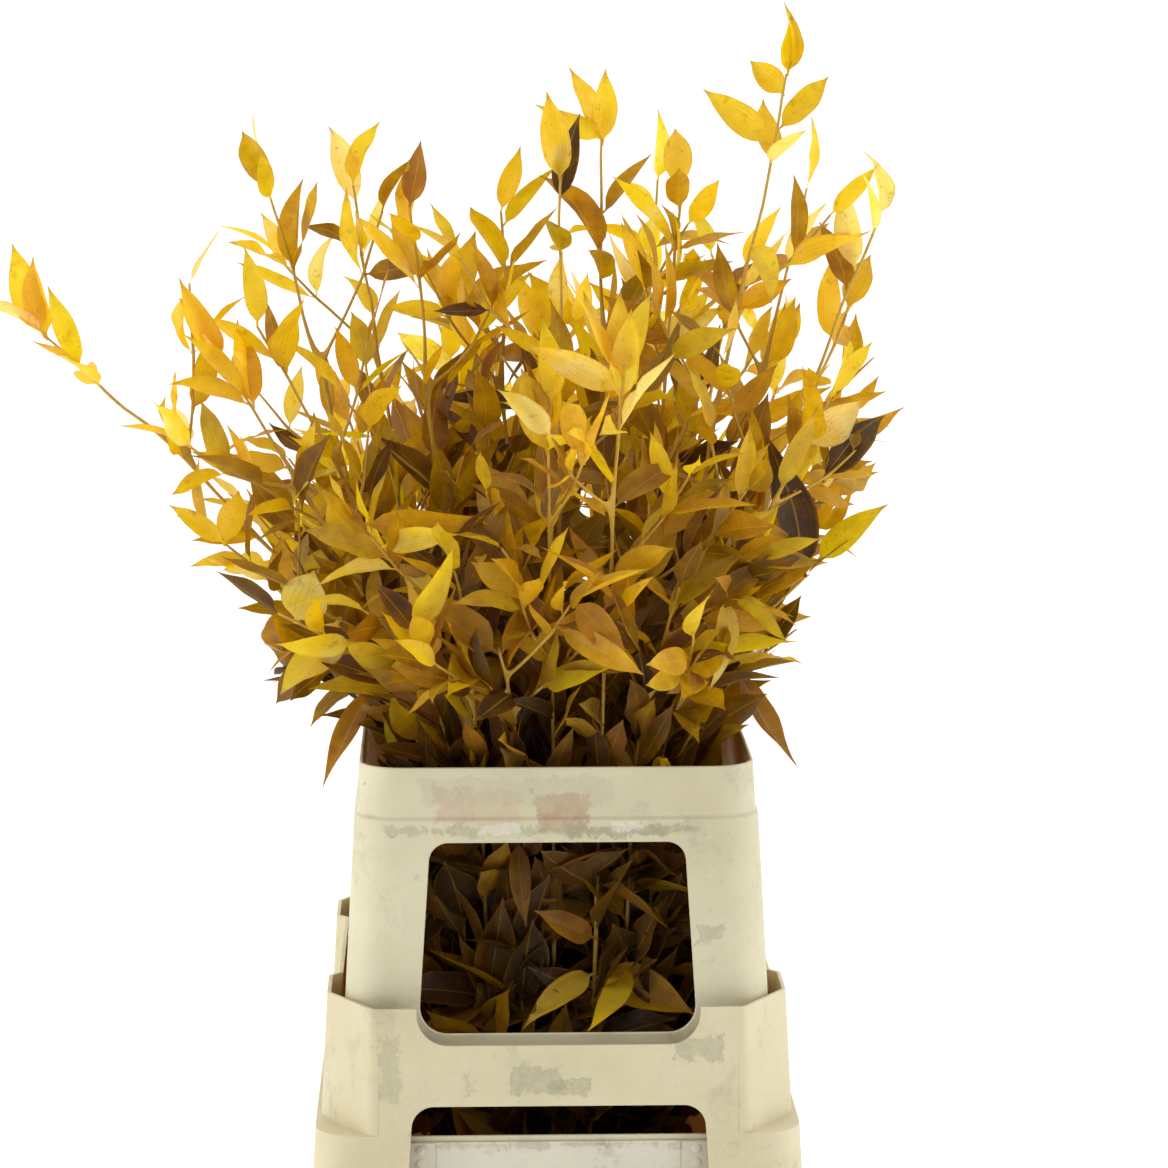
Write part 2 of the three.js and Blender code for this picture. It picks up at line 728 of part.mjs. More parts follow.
// A stem stands on the bucket's floor, rises through the mouth and leans out to its tip.
function stemCurve(tip, mouth, loose) {
  const through = new THREE.Vector3(mouth.x, mouth.y, MOUTH.z);
  const bow = tip.z < LOW_TIP ? LOW_BOW : BOW;
  const bend = through.clone().lerp(tip, 0.5);
  bend.z += bow * through.distanceTo(tip);
  bend.add(new THREE.Vector3(draw(-loose, loose), draw(-loose, loose), draw(-loose, loose)));
  const last = tip.clone().sub(bend).normalize();
  return new THREE.CatmullRomCurve3([
    new THREE.Vector3(mouth.x * FOOT_SHARE, mouth.y * FOOT_SHARE, FOOT),
    new THREE.Vector3(mouth.x * WAIST.share, mouth.y * WAIST.share, WAIST.z),
    through,
    bend,
    tip.clone().addScaledVector(last, -END_ROOM),
  ]);
}

function planStem(tip, mouth, owner) {
  const windowHeights = WINDOW_NODES.map((heights) => draw(...heights));
  if (Math.abs(mouth.y) < WINDOW_ROW) windowHeights.pop();
  const nodeJitter = CROWN_NODES.map((share) => share + draw(-NODE_JITTER, NODE_JITTER));
  for (let attempt = 0; attempt < STEM_ATTEMPTS; attempt += 1) {
    const curve = stemCurve(tip, mouth, 4 + 1.5 * attempt);
    const mouthShare = shareAtHeight(curve, MOUTH.z);
    const nodes = nodeJitter.map((share) => mouthShare + (1 - mouthShare) * share);
    nodes.push(...windowHeights.map((height) => shareAtHeight(curve, height)));
    const turns = TURN_HEIGHTS.map((height) => shareAtHeight(curve, height));
    const stations = ringStations(curve, nodes, turns);
    const line = centreLine(curve, stations);
    const aboveBucket = line.filter((point) => point.z > WAIST.z + RIM_CLEARANCE);
    const last = attempt === STEM_ATTEMPTS - 1;
    if (last || routeIsFree(aboveBucket, STEM_RADII[0] * Math.SQRT2, null)) {
      takeRoute(line, STEM_RADII, owner);
      return { curve, stations };
    }
  }
  return null;
}

// The share of a curve's length at which it first reaches a height.
function shareAtHeight(curve, height) {
  const steps = 200;
  return curve.getSpacedPoints(steps).findIndex((point) => point.z >= height) / steps;
}

function startStem(tip, mouth, owner) {
  const { curve, stations } = planStem(new THREE.Vector3(...tip), mouth, owner);
  const skin = new Skin();
  const along = curve.getTangentAt(0);
  const across = new THREE.Vector3(1, 0, 0).applyAxisAngle(along, draw(0, Math.PI / 2));
  across.addScaledVector(along, -across.dot(along)).normalize();
  const up = along.clone().cross(across);
  const foot = skin.ring(curve.getPointAt(0), across, up, STEM_RADII[0]);
  skin.points.forEach((point) => point.setZ(FOOT));
  skin.faces.push([...foot].reverse());
  const shoot = growShoot(skin, foot, curve, stations, across, STEM_RADII);
  return { skin, shoot, owner };
}

function growStems() {
  const places = mouthPlaces();
  const stems = TIPS.map((tip, i) => startStem(tip, places[i], i));
  for (const { skin, shoot, owner } of stems) {
    const first = Math.floor(draw(0, 4));
    const crown = shoot.nodes.slice(-CROWN_NODES.length);
    const pair = SHOOT_NODES.map((at, i) => growSideShoot(skin, crown[at], (first + 2 * i) % 4, owner));
    shoot.sideShoots = pair.filter(Boolean);
  }
  for (const { skin, shoot, owner } of stems) {
    growEndLeaf(skin, shoot.end, shoot.along, STEM_END_LEAF, owner);
    for (const sideShoot of shoot.sideShoots) {
      growEndLeaf(skin, sideShoot.end, sideShoot.along, SIDE_END_LEAF, owner);
    }
  }
  for (const { skin, shoot, owner } of stems) {
    shoot.nodes.forEach((node, i) => {
      const carriesShoot = node.sides.some((face) => skin.faces[face] === null);
      const sides = carriesShoot ? [(i + 1) % 4] : [i % 2, (i % 2) + 2];
      for (const side of sides) {
        if (skin.faces[node.sides[side]] === null) continue;
        growLeaf(skin, node.sides[side], node.along, STEM_LEAF, owner);
      }
    });
    for (const sideShoot of shoot.sideShoots) {
      sideShoot.nodes.forEach((node, i) => {
        for (const side of [i % 2, (i % 2) + 2]) {
          growLeaf(skin, node.sides[side], node.along, SIDE_LEAF, owner);
        }
      });
    }
  }
  stems.forEach(({ skin }, i) => {
    const name = `stem_${String(i + 1).padStart(2, "0")}`;
    addMesh(name, skin.geometry(), foliage(LEAF_COLOURS[i % LEAF_COLOURS.length]));
  });
}

makeBucket();
makeCardHolder();
makeLowerCollar();
makeUpperCollar();
growStems();

export default part;
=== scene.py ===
# Dyed, preserved foliage standing upright in its stacked cream plastic trade holder.
import math
import random

import bmesh
import bpy
from mathutils import Matrix, Vector


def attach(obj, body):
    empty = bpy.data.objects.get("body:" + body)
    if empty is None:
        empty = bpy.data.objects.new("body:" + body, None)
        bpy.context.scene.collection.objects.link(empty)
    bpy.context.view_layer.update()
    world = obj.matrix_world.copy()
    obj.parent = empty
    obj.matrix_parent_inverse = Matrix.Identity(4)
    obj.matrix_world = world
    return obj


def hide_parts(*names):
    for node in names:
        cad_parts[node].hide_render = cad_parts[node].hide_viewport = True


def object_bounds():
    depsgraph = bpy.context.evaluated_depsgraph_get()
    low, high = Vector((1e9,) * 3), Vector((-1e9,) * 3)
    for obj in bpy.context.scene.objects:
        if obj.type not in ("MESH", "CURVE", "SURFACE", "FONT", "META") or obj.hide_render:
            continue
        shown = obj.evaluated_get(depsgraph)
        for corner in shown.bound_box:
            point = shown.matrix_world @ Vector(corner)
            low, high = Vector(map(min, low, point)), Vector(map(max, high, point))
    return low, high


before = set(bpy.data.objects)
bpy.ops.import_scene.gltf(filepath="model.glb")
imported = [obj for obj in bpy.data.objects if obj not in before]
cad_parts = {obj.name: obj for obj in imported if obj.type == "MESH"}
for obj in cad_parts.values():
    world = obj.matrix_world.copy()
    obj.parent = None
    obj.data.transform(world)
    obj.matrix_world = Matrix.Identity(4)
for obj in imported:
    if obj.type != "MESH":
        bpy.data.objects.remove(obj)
cad_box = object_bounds()


# The camera stands a good two and a half metres off, a little above the holder's rim and
# tipped down, so that the foliage fills the upper two thirds of a square frame.
camera_data = bpy.data.cameras.new("camera")
camera_data.lens = 127.14
camera_data.sensor_width = 36
camera_data.clip_end = 500
camera = bpy.data.objects.new("camera", camera_data)
camera.location = (-0.0631, -2.6893, 0.982)
camera.rotation_euler = (math.radians(81.5), 0, math.radians(-1.8))
bpy.context.collection.objects.link(camera)
bpy.context.scene.camera = camera


# The studio is a wide pale floor and white walls that are bright behind and beside the bunch and
# dim where the camera stands, so that thin leaves glow. A soft light stands in front and one
# to each side.
def linear(code):
    """A colour for Blender's sockets from its sRGB hex code."""
    channels = [int(code[i:i + 2], 16) / 255 for i in (1, 3, 5)]
    return [c / 12.92 if c <= 0.04045 else ((c + 0.055) / 1.055) ** 2.4 for c in channels] + [1]


def put(tree, kind, inputs=(), **settings):
    """Adds a node. Its inputs are values, sockets, or nodes whose first output is meant."""
    node = tree.nodes.new(kind)
    for key, value in settings.items():
        setattr(node, key, value)
    for key, value in inputs.items() if isinstance(inputs, dict) else enumerate(inputs):
        if isinstance(value, bpy.types.Node):
            value = value.outputs[0]
        if isinstance(value, bpy.types.NodeSocket):
            tree.links.new(value, node.inputs[key])
        elif value is not None:
            node.inputs[key].default_value = value
    return node


def new_material(name):
    """A material with an empty tree."""
    made = bpy.data.materials.new(name)
    made.use_nodes = True
    made.node_tree.nodes.clear()
    return made, made.node_tree


def stand(name, data):
    """Puts an object of this data into the scene, at the origin."""
    made = bpy.data.objects.new(name, data)
    bpy.context.collection.objects.link(made)
    return made


world = bpy.data.worlds.new("white_studio")
world.use_nodes = True
world.node_tree.nodes.clear()
towards = put(world.node_tree, "ShaderNodeTexCoord").outputs["Generated"]
behind = put(world.node_tree, "ShaderNodeSeparateXYZ", [towards]).outputs["Y"]
walls = put(world.node_tree, "ShaderNodeMapRange", [behind, -0.88, -0.34, 0.15, 1.4],
            interpolation_type="SMOOTHSTEP")
seen = put(world.node_tree, "ShaderNodeLightPath").outputs["Is Camera Ray"]
strength = put(world.node_tree, "ShaderNodeMix", {0: seen, 2: walls, 3: 1.0})
backdrop = put(world.node_tree, "ShaderNodeBackground", [(1, 1, 1, 1), strength])
put(world.node_tree, "ShaderNodeOutputWorld", [backdrop])
bpy.context.scene.world = world
bpy.context.scene.view_settings.view_transform = "Standard"

softbox_data = bpy.data.lights.new("softbox", "AREA")
softbox_data.shape = "RECTANGLE"
softbox_data.size = 1.6
softbox_data.size_y = 1.2
softbox_data.energy = 8
softbox = stand("softbox", softbox_data)
softbox.location = (-1.5, -2.0, 2.3)
softbox.rotation_euler = (Vector((0, 0, 0.65)) - softbox.location).to_track_quat("-Z", "Y").to_euler()

for side in (-1, 1):
    panel_data = bpy.data.lights.new("side_panel", "AREA")
    panel_data.size = 0.9
    panel_data.energy = 7
    panel = stand("side_panel", panel_data)
    panel.location = (1.7 * side, -0.7, 0.5)
    panel.rotation_euler = (Vector((0, 0, 0.4)) - panel.location).to_track_quat("-Z", "Y").to_euler()

FLOOR_REACH, FLOOR_SIDES = 150, 64
floor_mesh = bpy.data.meshes.new("floor")
turns = [i * math.tau / FLOOR_SIDES for i in range(FLOOR_SIDES)]
floor_mesh.from_pydata(
    [(FLOOR_REACH * math.cos(turn), FLOOR_REACH * math.sin(turn), 0) for turn in turns],
    [], [tuple(range(FLOOR_SIDES))])
floor = stand("floor", floor_mesh)
pale_paint, tree = new_material("pale_floor_paint")
paint = put(tree, "ShaderNodeBsdfPrincipled", {"Base Color": linear("#fafaf9"), "Roughness": 0.9})
put(tree, "ShaderNodeOutputMaterial", [paint])
floor_mesh.materials.append(pale_paint)


# The bucket is a deep tub of injection-moulded polyethylene with a slight draft, a foot ring
# and rounded corners. Only a strip of it shows behind the lower collar's window.
WALL = 2.4
BUCKET_RIM = 254.8
BUCKET_BOTTOM = (127, 152)
BUCKET_TOP = (149, 172)


def rounded(corners, steps=8):
    """The outline through corners (x, y, radius), each turned on an arc."""
    outline = []
    for i, (x, y, radius) in enumerate(corners):
        corner = Vector((x, y))
        before = (Vector(corners[i - 1][:2]) - corner).normalized()
        after = (Vector(corners[(i + 1) % len(corners)][:2]) - corner).normalized()
        half = before.angle(after) / 2
        centre = corner + (before + after).normalized() * (radius / math.sin(half))
        start = corner + before * (radius / math.tan(half)) - centre
        turn = (math.pi - 2 * half) * (1 if before.cross(after) < 0 else -1)
        for step in range(steps + 1):
            spoke = start.copy()
            spoke.rotate(Matrix.Rotation(turn * step / steps, 2))
            outline.append(tuple(centre + spoke))
    return outline


def tub(half, radius):
    """A rectangle with rounded corners."""
    x, y = half
    return rounded([(x, -y, radius), (x, y, radius), (-x, y, radius), (-x, -y, radius)])


def prism(name, levels):
    """A closed solid through outlines of equal length at rising heights, in millimetres."""
    count = len(levels[0][1])
    points = [(x / 1000, y / 1000, z / 1000) for z, outline in levels for x, y in outline]
    faces = [tuple(reversed(range(count))), tuple(range(len(points) - count, len(points)))]
    for low in range(0, len(points) - count, count):
        for i in range(count):
            j = (i + 1) % count
            faces.append((low + i, low + j, low + count + j, low + count + i))
    mesh = bpy.data.meshes.new(name)
    mesh.from_pydata(points, [], faces)
    return stand(name, mesh)


def settle(piece):
    """Turns the piece's live modifiers into its plain mesh."""
    bpy.context.view_layer.update()
    evaluated = piece.evaluated_get(bpy.context.evaluated_depsgraph_get())
    made = bpy.data.meshes.new_from_object(evaluated)
    piece.modifiers.clear()
    piece.data = made


def combine(piece, other, operation="DIFFERENCE"):
    """Cuts the other solid out of the piece, or joins it on, and uses it up."""
    step = piece.modifiers.new("combine", "BOOLEAN")
    step.object = other
    step.operation = operation
    step.solver = "EXACT"
    settle(piece)
    bpy.data.objects.remove(other)


def soften(piece, radius, sharp=32):
    """Rounds every sharp edge as a mould does, and shades the walls smooth."""
    piece.data.shade_smooth()
    edge = piece.modifiers.new("soften", "BEVEL")
    edge.width = radius / 1000
    edge.segments = 2
    edge.limit_method = "ANGLE"
    edge.angle_limit = math.radians(sharp)
    edge.harden_normals = True
    settle(piece)


def bucket_half(z, inset=0.0):
    """Half the bucket's width and depth at a height."""
    return [low + (high - low) * z / BUCKET_RIM - inset for low, high in zip(BUCKET_BOTTOM, BUCKET_TOP)]


def bucket_outline(z, inset=0.0):
    return tub(bucket_half(z, inset), 30 - inset)


bucket = prism("bucket_shell", [
    (0, bucket_outline(0, 1.2)),
    (9, bucket_outline(9, 1.2)),
    (11, bucket_outline(11)),
    (148, bucket_outline(148)),
    (149.5, bucket_outline(149.5, -1.4)),
    (156, bucket_outline(156, -1.4)),
    (157.5, bucket_outline(157.5)),
    (BUCKET_RIM, bucket_outline(BUCKET_RIM)),
])
combine(bucket, prism("hollow", [
    (3, bucket_outline(3, WALL)),
    (BUCKET_RIM + 1, bucket_outline(BUCKET_RIM + 1, WALL)),
]))
soften(bucket, 0.9)


# Its polyethylene is pale cream: slightly waxy, a little see-through, scuffed and water-marked
# by use. Light that comes through a wall turns warm.
def cream_polyethylene(name, colour, shade, grime, wear, patches=()):
    """Used cream polyethylene. Patches are blank torn label remains on the front:
    middle x and z, half width and height in millimetres, colour and strength."""
    made, tree = new_material(name)
    coords = put(tree, "ShaderNodeTexCoord").outputs["Object"]
    broad = put(tree, "ShaderNodeTexNoise", {
        "Vector": coords, "Scale": 11, "Detail": 5, "Roughness": 0.6})
    tone = put(tree, "ShaderNodeMapRange", [broad, 0.36, 0.66, 0.0, 1.0])
    base = put(tree, "ShaderNodeMix", {0: tone, 6: linear(colour), 7: linear(shade)},
               data_type="RGBA").outputs[2]

    # Grey-green film in ragged islands 10 to 40 mm wide.
    islands = put(tree, "ShaderNodeTexNoise", {
        "Vector": coords, "Scale": 26, "Detail": 12, "Roughness": 0.74})
    film = put(tree, "ShaderNodeMapRange", [islands, 0.55, 0.68, 0.0, 0.6 * wear])
    base = put(tree, "ShaderNodeMix", {0: film, 6: base, 7: linear(grime)}, data_type="RGBA").outputs[2]

    # Rubbed paler strokes, drawn out along the wall.
    long_way = put(tree, "ShaderNodeMapping", {"Vector": coords, "Scale": (60, 60, 13)})
    strokes = put(tree, "ShaderNodeTexNoise", {
        "Vector": long_way, "Scale": 1, "Detail": 6, "Roughness": 0.7})
    rubbed = put(tree, "ShaderNodeMapRange", [strokes, 0.58, 0.72, 0.0, 0.5 * wear])
    base = put(tree, "ShaderNodeMix", {0: rubbed, 6: base, 7: linear("#d9d6c2")},
               data_type="RGBA").outputs[2]

    # Fine grime that sits in the moulded grain, in flecks of one to three millimetres.
    flecks = put(tree, "ShaderNodeTexNoise", {
        "Vector": coords, "Scale": 190, "Detail": 10, "Roughness": 0.8})
    where = put(tree, "ShaderNodeMapRange", [islands, 0.44, 0.60, 0.0, 1.0])
    speckle = put(tree, "ShaderNodeMapRange", [flecks, 0.54, 0.66, 0.0, 0.38 * wear])
    fleck = put(tree, "ShaderNodeMath", [where, speckle], operation="MULTIPLY")
    base = put(tree, "ShaderNodeMix", {0: fleck, 6: base, 7: linear("#8f8a70")},
               data_type="RGBA").outputs[2]

    # Dark pinprick marks about a millimetre across.
    dots = put(tree, "ShaderNodeTexVoronoi", {"Vector": coords, "Scale": 42, "Randomness": 1})
    chance = put(tree, "ShaderNodeSeparateColor", [dots.outputs["Color"]])
    rare = put(tree, "ShaderNodeMath", [chance, 0.9], operation="GREATER_THAN")
    small = put(tree, "ShaderNodeMapRange", [dots.outputs["Distance"], 0.05, 0.025, 0.0, 0.75])
    mark = put(tree, "ShaderNodeMath", [rare, small], operation="MULTIPLY")
    base = put(tree, "ShaderNodeMix", {0: mark, 6: base, 7: linear("#5f5a4a")}, data_type="RGBA").outputs[2]

    # Blank remains of torn labels, ragged at the edge and flaking, on the front only.
    depth = put(tree, "ShaderNodeSeparateXYZ", [coords]).outputs["Y"]
    front = put(tree, "ShaderNodeMath", [depth, -0.12], operation="LESS_THAN")
    torn = put(tree, "ShaderNodeTexNoise", {
        "Vector": coords, "Scale": 95, "Detail": 10, "Roughness": 0.72})
    ragged = put(tree, "ShaderNodeMapRange", [torn, 0.3, 0.7, -0.005, 0.005])
    flaked = put(tree, "ShaderNodeMapRange", [flecks, 0.42, 0.58, 1.0, 0.5])
    whole = put(tree, "ShaderNodeMath", [front, flaked], operation="MULTIPLY")
    for x, z, half_width, half_height, tint, strength in patches:
        centred = put(tree, "ShaderNodeVectorMath", [coords, (x / 1000, 0, z / 1000)], operation="SUBTRACT")
        folded = put(tree, "ShaderNodeVectorMath", [centred], operation="ABSOLUTE")
        past = put(tree, "ShaderNodeVectorMath", [folded, (half_width / 1000, 9, half_height / 1000)],
                   operation="SUBTRACT")
        apart = put(tree, "ShaderNodeSeparateXYZ", [past])
        nearest = put(tree, "ShaderNodeMath", [apart.outputs["X"], apart.outputs["Z"]], operation="MAXIMUM")
        edge = put(tree, "ShaderNodeMath", [nearest, ragged], operation="ADD")
        inside = put(tree, "ShaderNodeMapRange", [edge, 0.0008, -0.0008, 0.0, strength])
        cover = put(tree, "ShaderNodeMath", [inside, whole], operation="MULTIPLY")
        base = put(tree, "ShaderNodeMix", {0: cover, 6: base, 7: linear(tint)}, data_type="RGBA").outputs[2]

    # The mould's fine grain, about a millimetre, and the slow waves of a thin moulded wall.
    grain = put(tree, "ShaderNodeTexNoise", {"Vector": coords, "Scale": 900, "Detail": 2})
    waves = put(tree, "ShaderNodeTexNoise", {"Vector": coords, "Scale": 18, "Detail": 1})
    swell = put(tree, "ShaderNodeBump", {"Strength": 0.25, "Distance": 0.004, "Height": waves})
    skin = put(tree, "ShaderNodeBump", {
        "Strength": 0.12, "Distance": 0.0004, "Height": grain, "Normal": swell})
    polish = put(tree, "ShaderNodeMapRange", [islands, 0.3, 0.7, 0.42, 0.62])
    surface = put(tree, "ShaderNodeBsdfPrincipled", {
        "Base Color": base, "Roughness": polish, "IOR": 1.5, "Normal": skin})
    through = put(tree, "ShaderNodeBsdfTranslucent", {"Color": linear("#eab070"), "Normal": skin})
    both = put(tree, "ShaderNodeMixShader", [0.18, surface, through])
    put(tree, "ShaderNodeOutputMaterial", [both])
    return made


bucket.data.materials.append(cream_polyethylene(
    "scuffed_bucket_polyethylene", "#ddd7b6", "#d1c9a4", "#b5b193", 1.0))
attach(bucket, "root")
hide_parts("bucket")


# The card holder is a clear-to-milky plastic sleeve, blank and dusty, riveted to the bucket's
# front through a strip at each end. Its card is plain.
CARD_BOTTOM, CARD_TOP, CARD_HALF = 206, 251, 99
STUD_X, STUD_ROWS, STUD_RADIUS, STUD_SIDES = 87, (246, 237, 228), 3.2, 20


def on_bucket_front(z, out):
    """The Y of a point this far in front of the bucket's front wall."""
    return -(bucket_half(z)[1] + 0.3 + out)


def front_plate(name, left, right, bottom, top, inner, outer):
    """A flat plate that follows the lean of the bucket's front wall."""
    return prism(name, [
        (z, [(left, on_bucket_front(z, outer)), (right, on_bucket_front(z, outer)),
             (right, on_bucket_front(z, inner)), (left, on_bucket_front(z, inner))])
        for z in (bottom, top)])


card = front_plate("card_sleeve", -CARD_HALF, CARD_HALF, CARD_BOTTOM, CARD_TOP, 0, 1.5)
for side in (-1, 1):
    ends = sorted((side * (CARD_HALF - 0.6), side * (STUD_X - 9)))
    combine(card, front_plate("strip", *ends, CARD_BOTTOM + 0.6, CARD_TOP - 0.6, 1, 2.1), "UNION")
    groove = sorted((side * (STUD_X - 9.6), side * (STUD_X - 10.4)))
    combine(card, front_plate("groove", *groove, CARD_BOTTOM - 1, CARD_TOP + 1, 1.1, 3))
    for z in STUD_ROWS:
        turns = [k * math.tau / STUD_SIDES for k in range(STUD_SIDES)]
        stud = prism("stud", [
            (out, [(side * STUD_X + share * STUD_RADIUS * math.cos(turn),
                    z + share * STUD_RADIUS * math.sin(turn)) for turn in turns])
            for out, share in ((-1, 1), (0, 1), (0.5, 1), (0.95, 0.72), (1.1, 0.3))])
        onto_front = Matrix.Translation((0, on_bucket_front(z, 2) / 1000, 0))
        stud.data.transform(onto_front @ Matrix.Rotation(math.pi / 2, 4, "X"))
        combine(card, stud, "UNION")
soften(card, 0.25)
card.data.materials.append(cream_polyethylene(
    "dusty_milky_sleeve", "#dcd8c3", "#cfcbb6", "#aaa793", 1.4,
    [(0, 212, 78, 36, "#e3e0d0", 0.4), (-30, 249, 62, 1.6, "#a29d88", 0.6),
     (52, 249, 26, 1.4, "#9c9782", 0.5)]))
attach(card, "root")
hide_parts("card_holder")


# The lower collar is a moulded sleeve: a skirt that drops over the bucket's rim, and above its
# ledge a wall with a chamfered pocket at each corner, in which the next collar stands.
LEAN = 0.055
LOWER_BOTTOM, LEDGE, LOWER_RIM = 198, 257.5, 338
LOWER_HALF = (153.5, 177.2)
RIB_TOP, RIB_HEIGHT, RIB_INSET = 297.7, 3, 6.8


def pocketed(z, inset=0.0):
    """The collar's outline above its ledge, moved in by an inset."""
    out = LEAN * (LOWER_RIM - z) - inset
    quarter = [(139.6, 78.2, 4), (146, 85.2, 5), (146, 131.2, 7), (117, 177.2, 7)]
    back = quarter + [(-x, y, radius) for x, y, radius in reversed(quarter)]
    ring = back + [(-x, -y, radius) for x, y, radius in back]
    moved = []
    for i, (x, y, radius) in enumerate(ring):
        here = Vector((x, y))
        before = (here - Vector(ring[i - 1][:2])).normalized()
        after = (Vector(ring[(i + 1) % len(ring)][:2]) - here).normalized()
        normals = [Vector((d.y, -d.x)) for d in (before, after)]
        shift = (normals[0] + normals[1]) * (out / (1 + normals[0].dot(normals[1])))
        bulge = out if before.cross(after) > 0 else -out
        moved.append((*(here + shift), max(0.8, radius + bulge)))
    return rounded(moved, 4)


def skirt(z, inset=0.0):
    """The collar's outline below its ledge."""
    across = LOWER_HALF[0] + LEAN * (LEDGE - z) - inset
    deep = LOWER_HALF[1] + LEAN * (LOWER_RIM - z) - inset
    return tub((across, deep), 28 - inset)


def wall_between(name, outline, low, high, inset=0.0):
    return prism(name, [(low, outline(low, inset)), (high, outline(high, inset))])


def window(name, corners):
    """A cutter through the front and back walls, from corners (x, z, radius)."""
    made = prism(name, [(-260, rounded(corners, 10)), (260, rounded(corners, 10))])
    made.data.transform(Matrix.Rotation(math.pi / 2, 4, "X"))
    return made


def window_corners(bottom, bottom_half, top, top_half, low_radius, high_radius):
    return [(bottom_half, bottom, low_radius), (top_half, top, high_radius),
            (-top_half, top, high_radius), (-bottom_half, bottom, low_radius)]


lower = wall_between("lower_sleeve", skirt, LOWER_BOTTOM, LEDGE)
combine(lower, wall_between("pockets", pocketed, LEDGE - 1, LOWER_RIM), "UNION")
combine(lower, wall_between("upper_hollow", pocketed, RIB_TOP, LOWER_RIM + 1, WALL))
combine(lower, wall_between("rib_hollow", pocketed, RIB_TOP - RIB_HEIGHT - 1, RIB_TOP + 1, RIB_INSET))
combine(lower, wall_between("middle_hollow", pocketed, LEDGE - WALL - 1, RIB_TOP - RIB_HEIGHT, WALL))
combine(lower, wall_between("skirt_hollow", skirt, LOWER_BOTTOM - 1, LEDGE - WALL, WALL))
combine(lower, window("notch", window_corners(314.5, 89, 352, 89, 20, 1)))
combine(lower, window("lower_window", window_corners(209, 96, 276, 91.5, 17, 14)))
soften(lower, 1.0)
lower.data.materials.append(cream_polyethylene(
    "scuffed_lower_polyethylene", "#dfd7b3", "#d4cba5", "#b3b094", 1.0,
    [(-14, 293, 16, 9, "#aaa98b", 0.75), (6, 287, 12, 5, "#a6a586", 0.65), (88, 312, 15, 7, "#a9a88b", 0.7),
     (-106, 300, 6, 20, "#aeab8f", 0.6), (-58, 290, 3, 8, "#b5b296", 0.6)]))
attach(lower, "root")
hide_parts("lower_collar")


# The upper collar is the same moulding without pockets: a tall sleeve that stands on the lower
# one's inner rib. A small step near the top stiffens it, and its front and back have a window.
UPPER_BOTTOM, STEP_Z, UPPER_RIM, STEP_IN = 298, 453, 486, 1.5
UPPER_HALF = (136.6, 160.5)


def upper_outline(z, inset=0.0):
    fall = LEAN * (z - UPPER_BOTTOM) + inset + (STEP_IN if z > STEP_Z else 0)
    return tub([half - fall for half in UPPER_HALF], 27 - inset)


def upper_shell(name, inset, over):
    heights = (UPPER_BOTTOM - over, STEP_Z, STEP_Z + 1.5, UPPER_RIM + over)
    return prism(name, [(z, upper_outline(z, inset)) for z in heights])


upper = upper_shell("upper_sleeve", 0, 0)
combine(upper, upper_shell("upper_hollow", WALL, 1))
combine(upper, window("upper_window", window_corners(317.5, 88, 438.5, 80, 17, 12)))
soften(upper, 1.0)
upper.data.materials.append(cream_polyethylene(
    "scuffed_upper_polyethylene", "#dedab9", "#d2ccaa", "#b4b196", 1.0,
    [(-64, 463, 12, 11, "#cfb69b", 0.85), (-38, 460, 15, 12, "#d2bd9f", 0.75),
     (3, 457, 17, 12, "#bb9d80", 0.9),
     (-20, 446, 88, 3, "#aba98c", 0.7), (50, 446, 42, 2.5, "#a6a486", 0.8),
     (-26, 470, 60, 9, "#bfba9c", 0.45), (-36, 447, 12, 3, "#ece8d8", 0.8),
     (44, 449, 10, 2.5, "#ece8d8", 0.7), (96, 380, 8, 5, "#b1ae92", 0.7)]))
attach(upper, "root")
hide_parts("upper_collar")


# The branches are cut stems of an evergreen shrub, soaked in glycerine and yellow dye: a thin
# tan stem, alternate side shoots, and leathery lance-shaped leaves on short stalks.
WIDEST = 0.42
LEAF_STEP = 0.052
# Further leaves for each such step of shoot: at the rim, in the holder, low in the crown, high in it.
AT_RIM, IN_HOLDER, LOW_CROWN, HIGH_CROWN = 2.0, 1.9, 0.6, 0.3
EYE = Vector((-0.063, -2.689, 0.982))
SPREAD = [(0.47, -0.167, 0.155), (0.49, -0.199, 0.156), (0.51, -0.196, 0.165), (0.55, -0.191, 0.170),
          (0.58, -0.198, 0.170), (0.597, -0.239, 0.184), (0.63, -0.250, 0.209), (0.65, -0.260, 0.219),
          (0.67, -0.289, 0.219), (0.709, -0.321, 0.220), (0.729, -0.345, 0.212), (0.749, -0.372, 0.200),
          (0.794, -0.372, 0.205), (0.810, -0.228, 0.216), (0.843, -0.226, 0.235), (0.865, -0.204, 0.230),
          (0.888, -0.200, 0.224), (0.900, -0.100, 0.216), (0.904, -0.008, 0.214), (0.923, 0.024, 0.180),
          (0.97, 0.120, 0.180)]
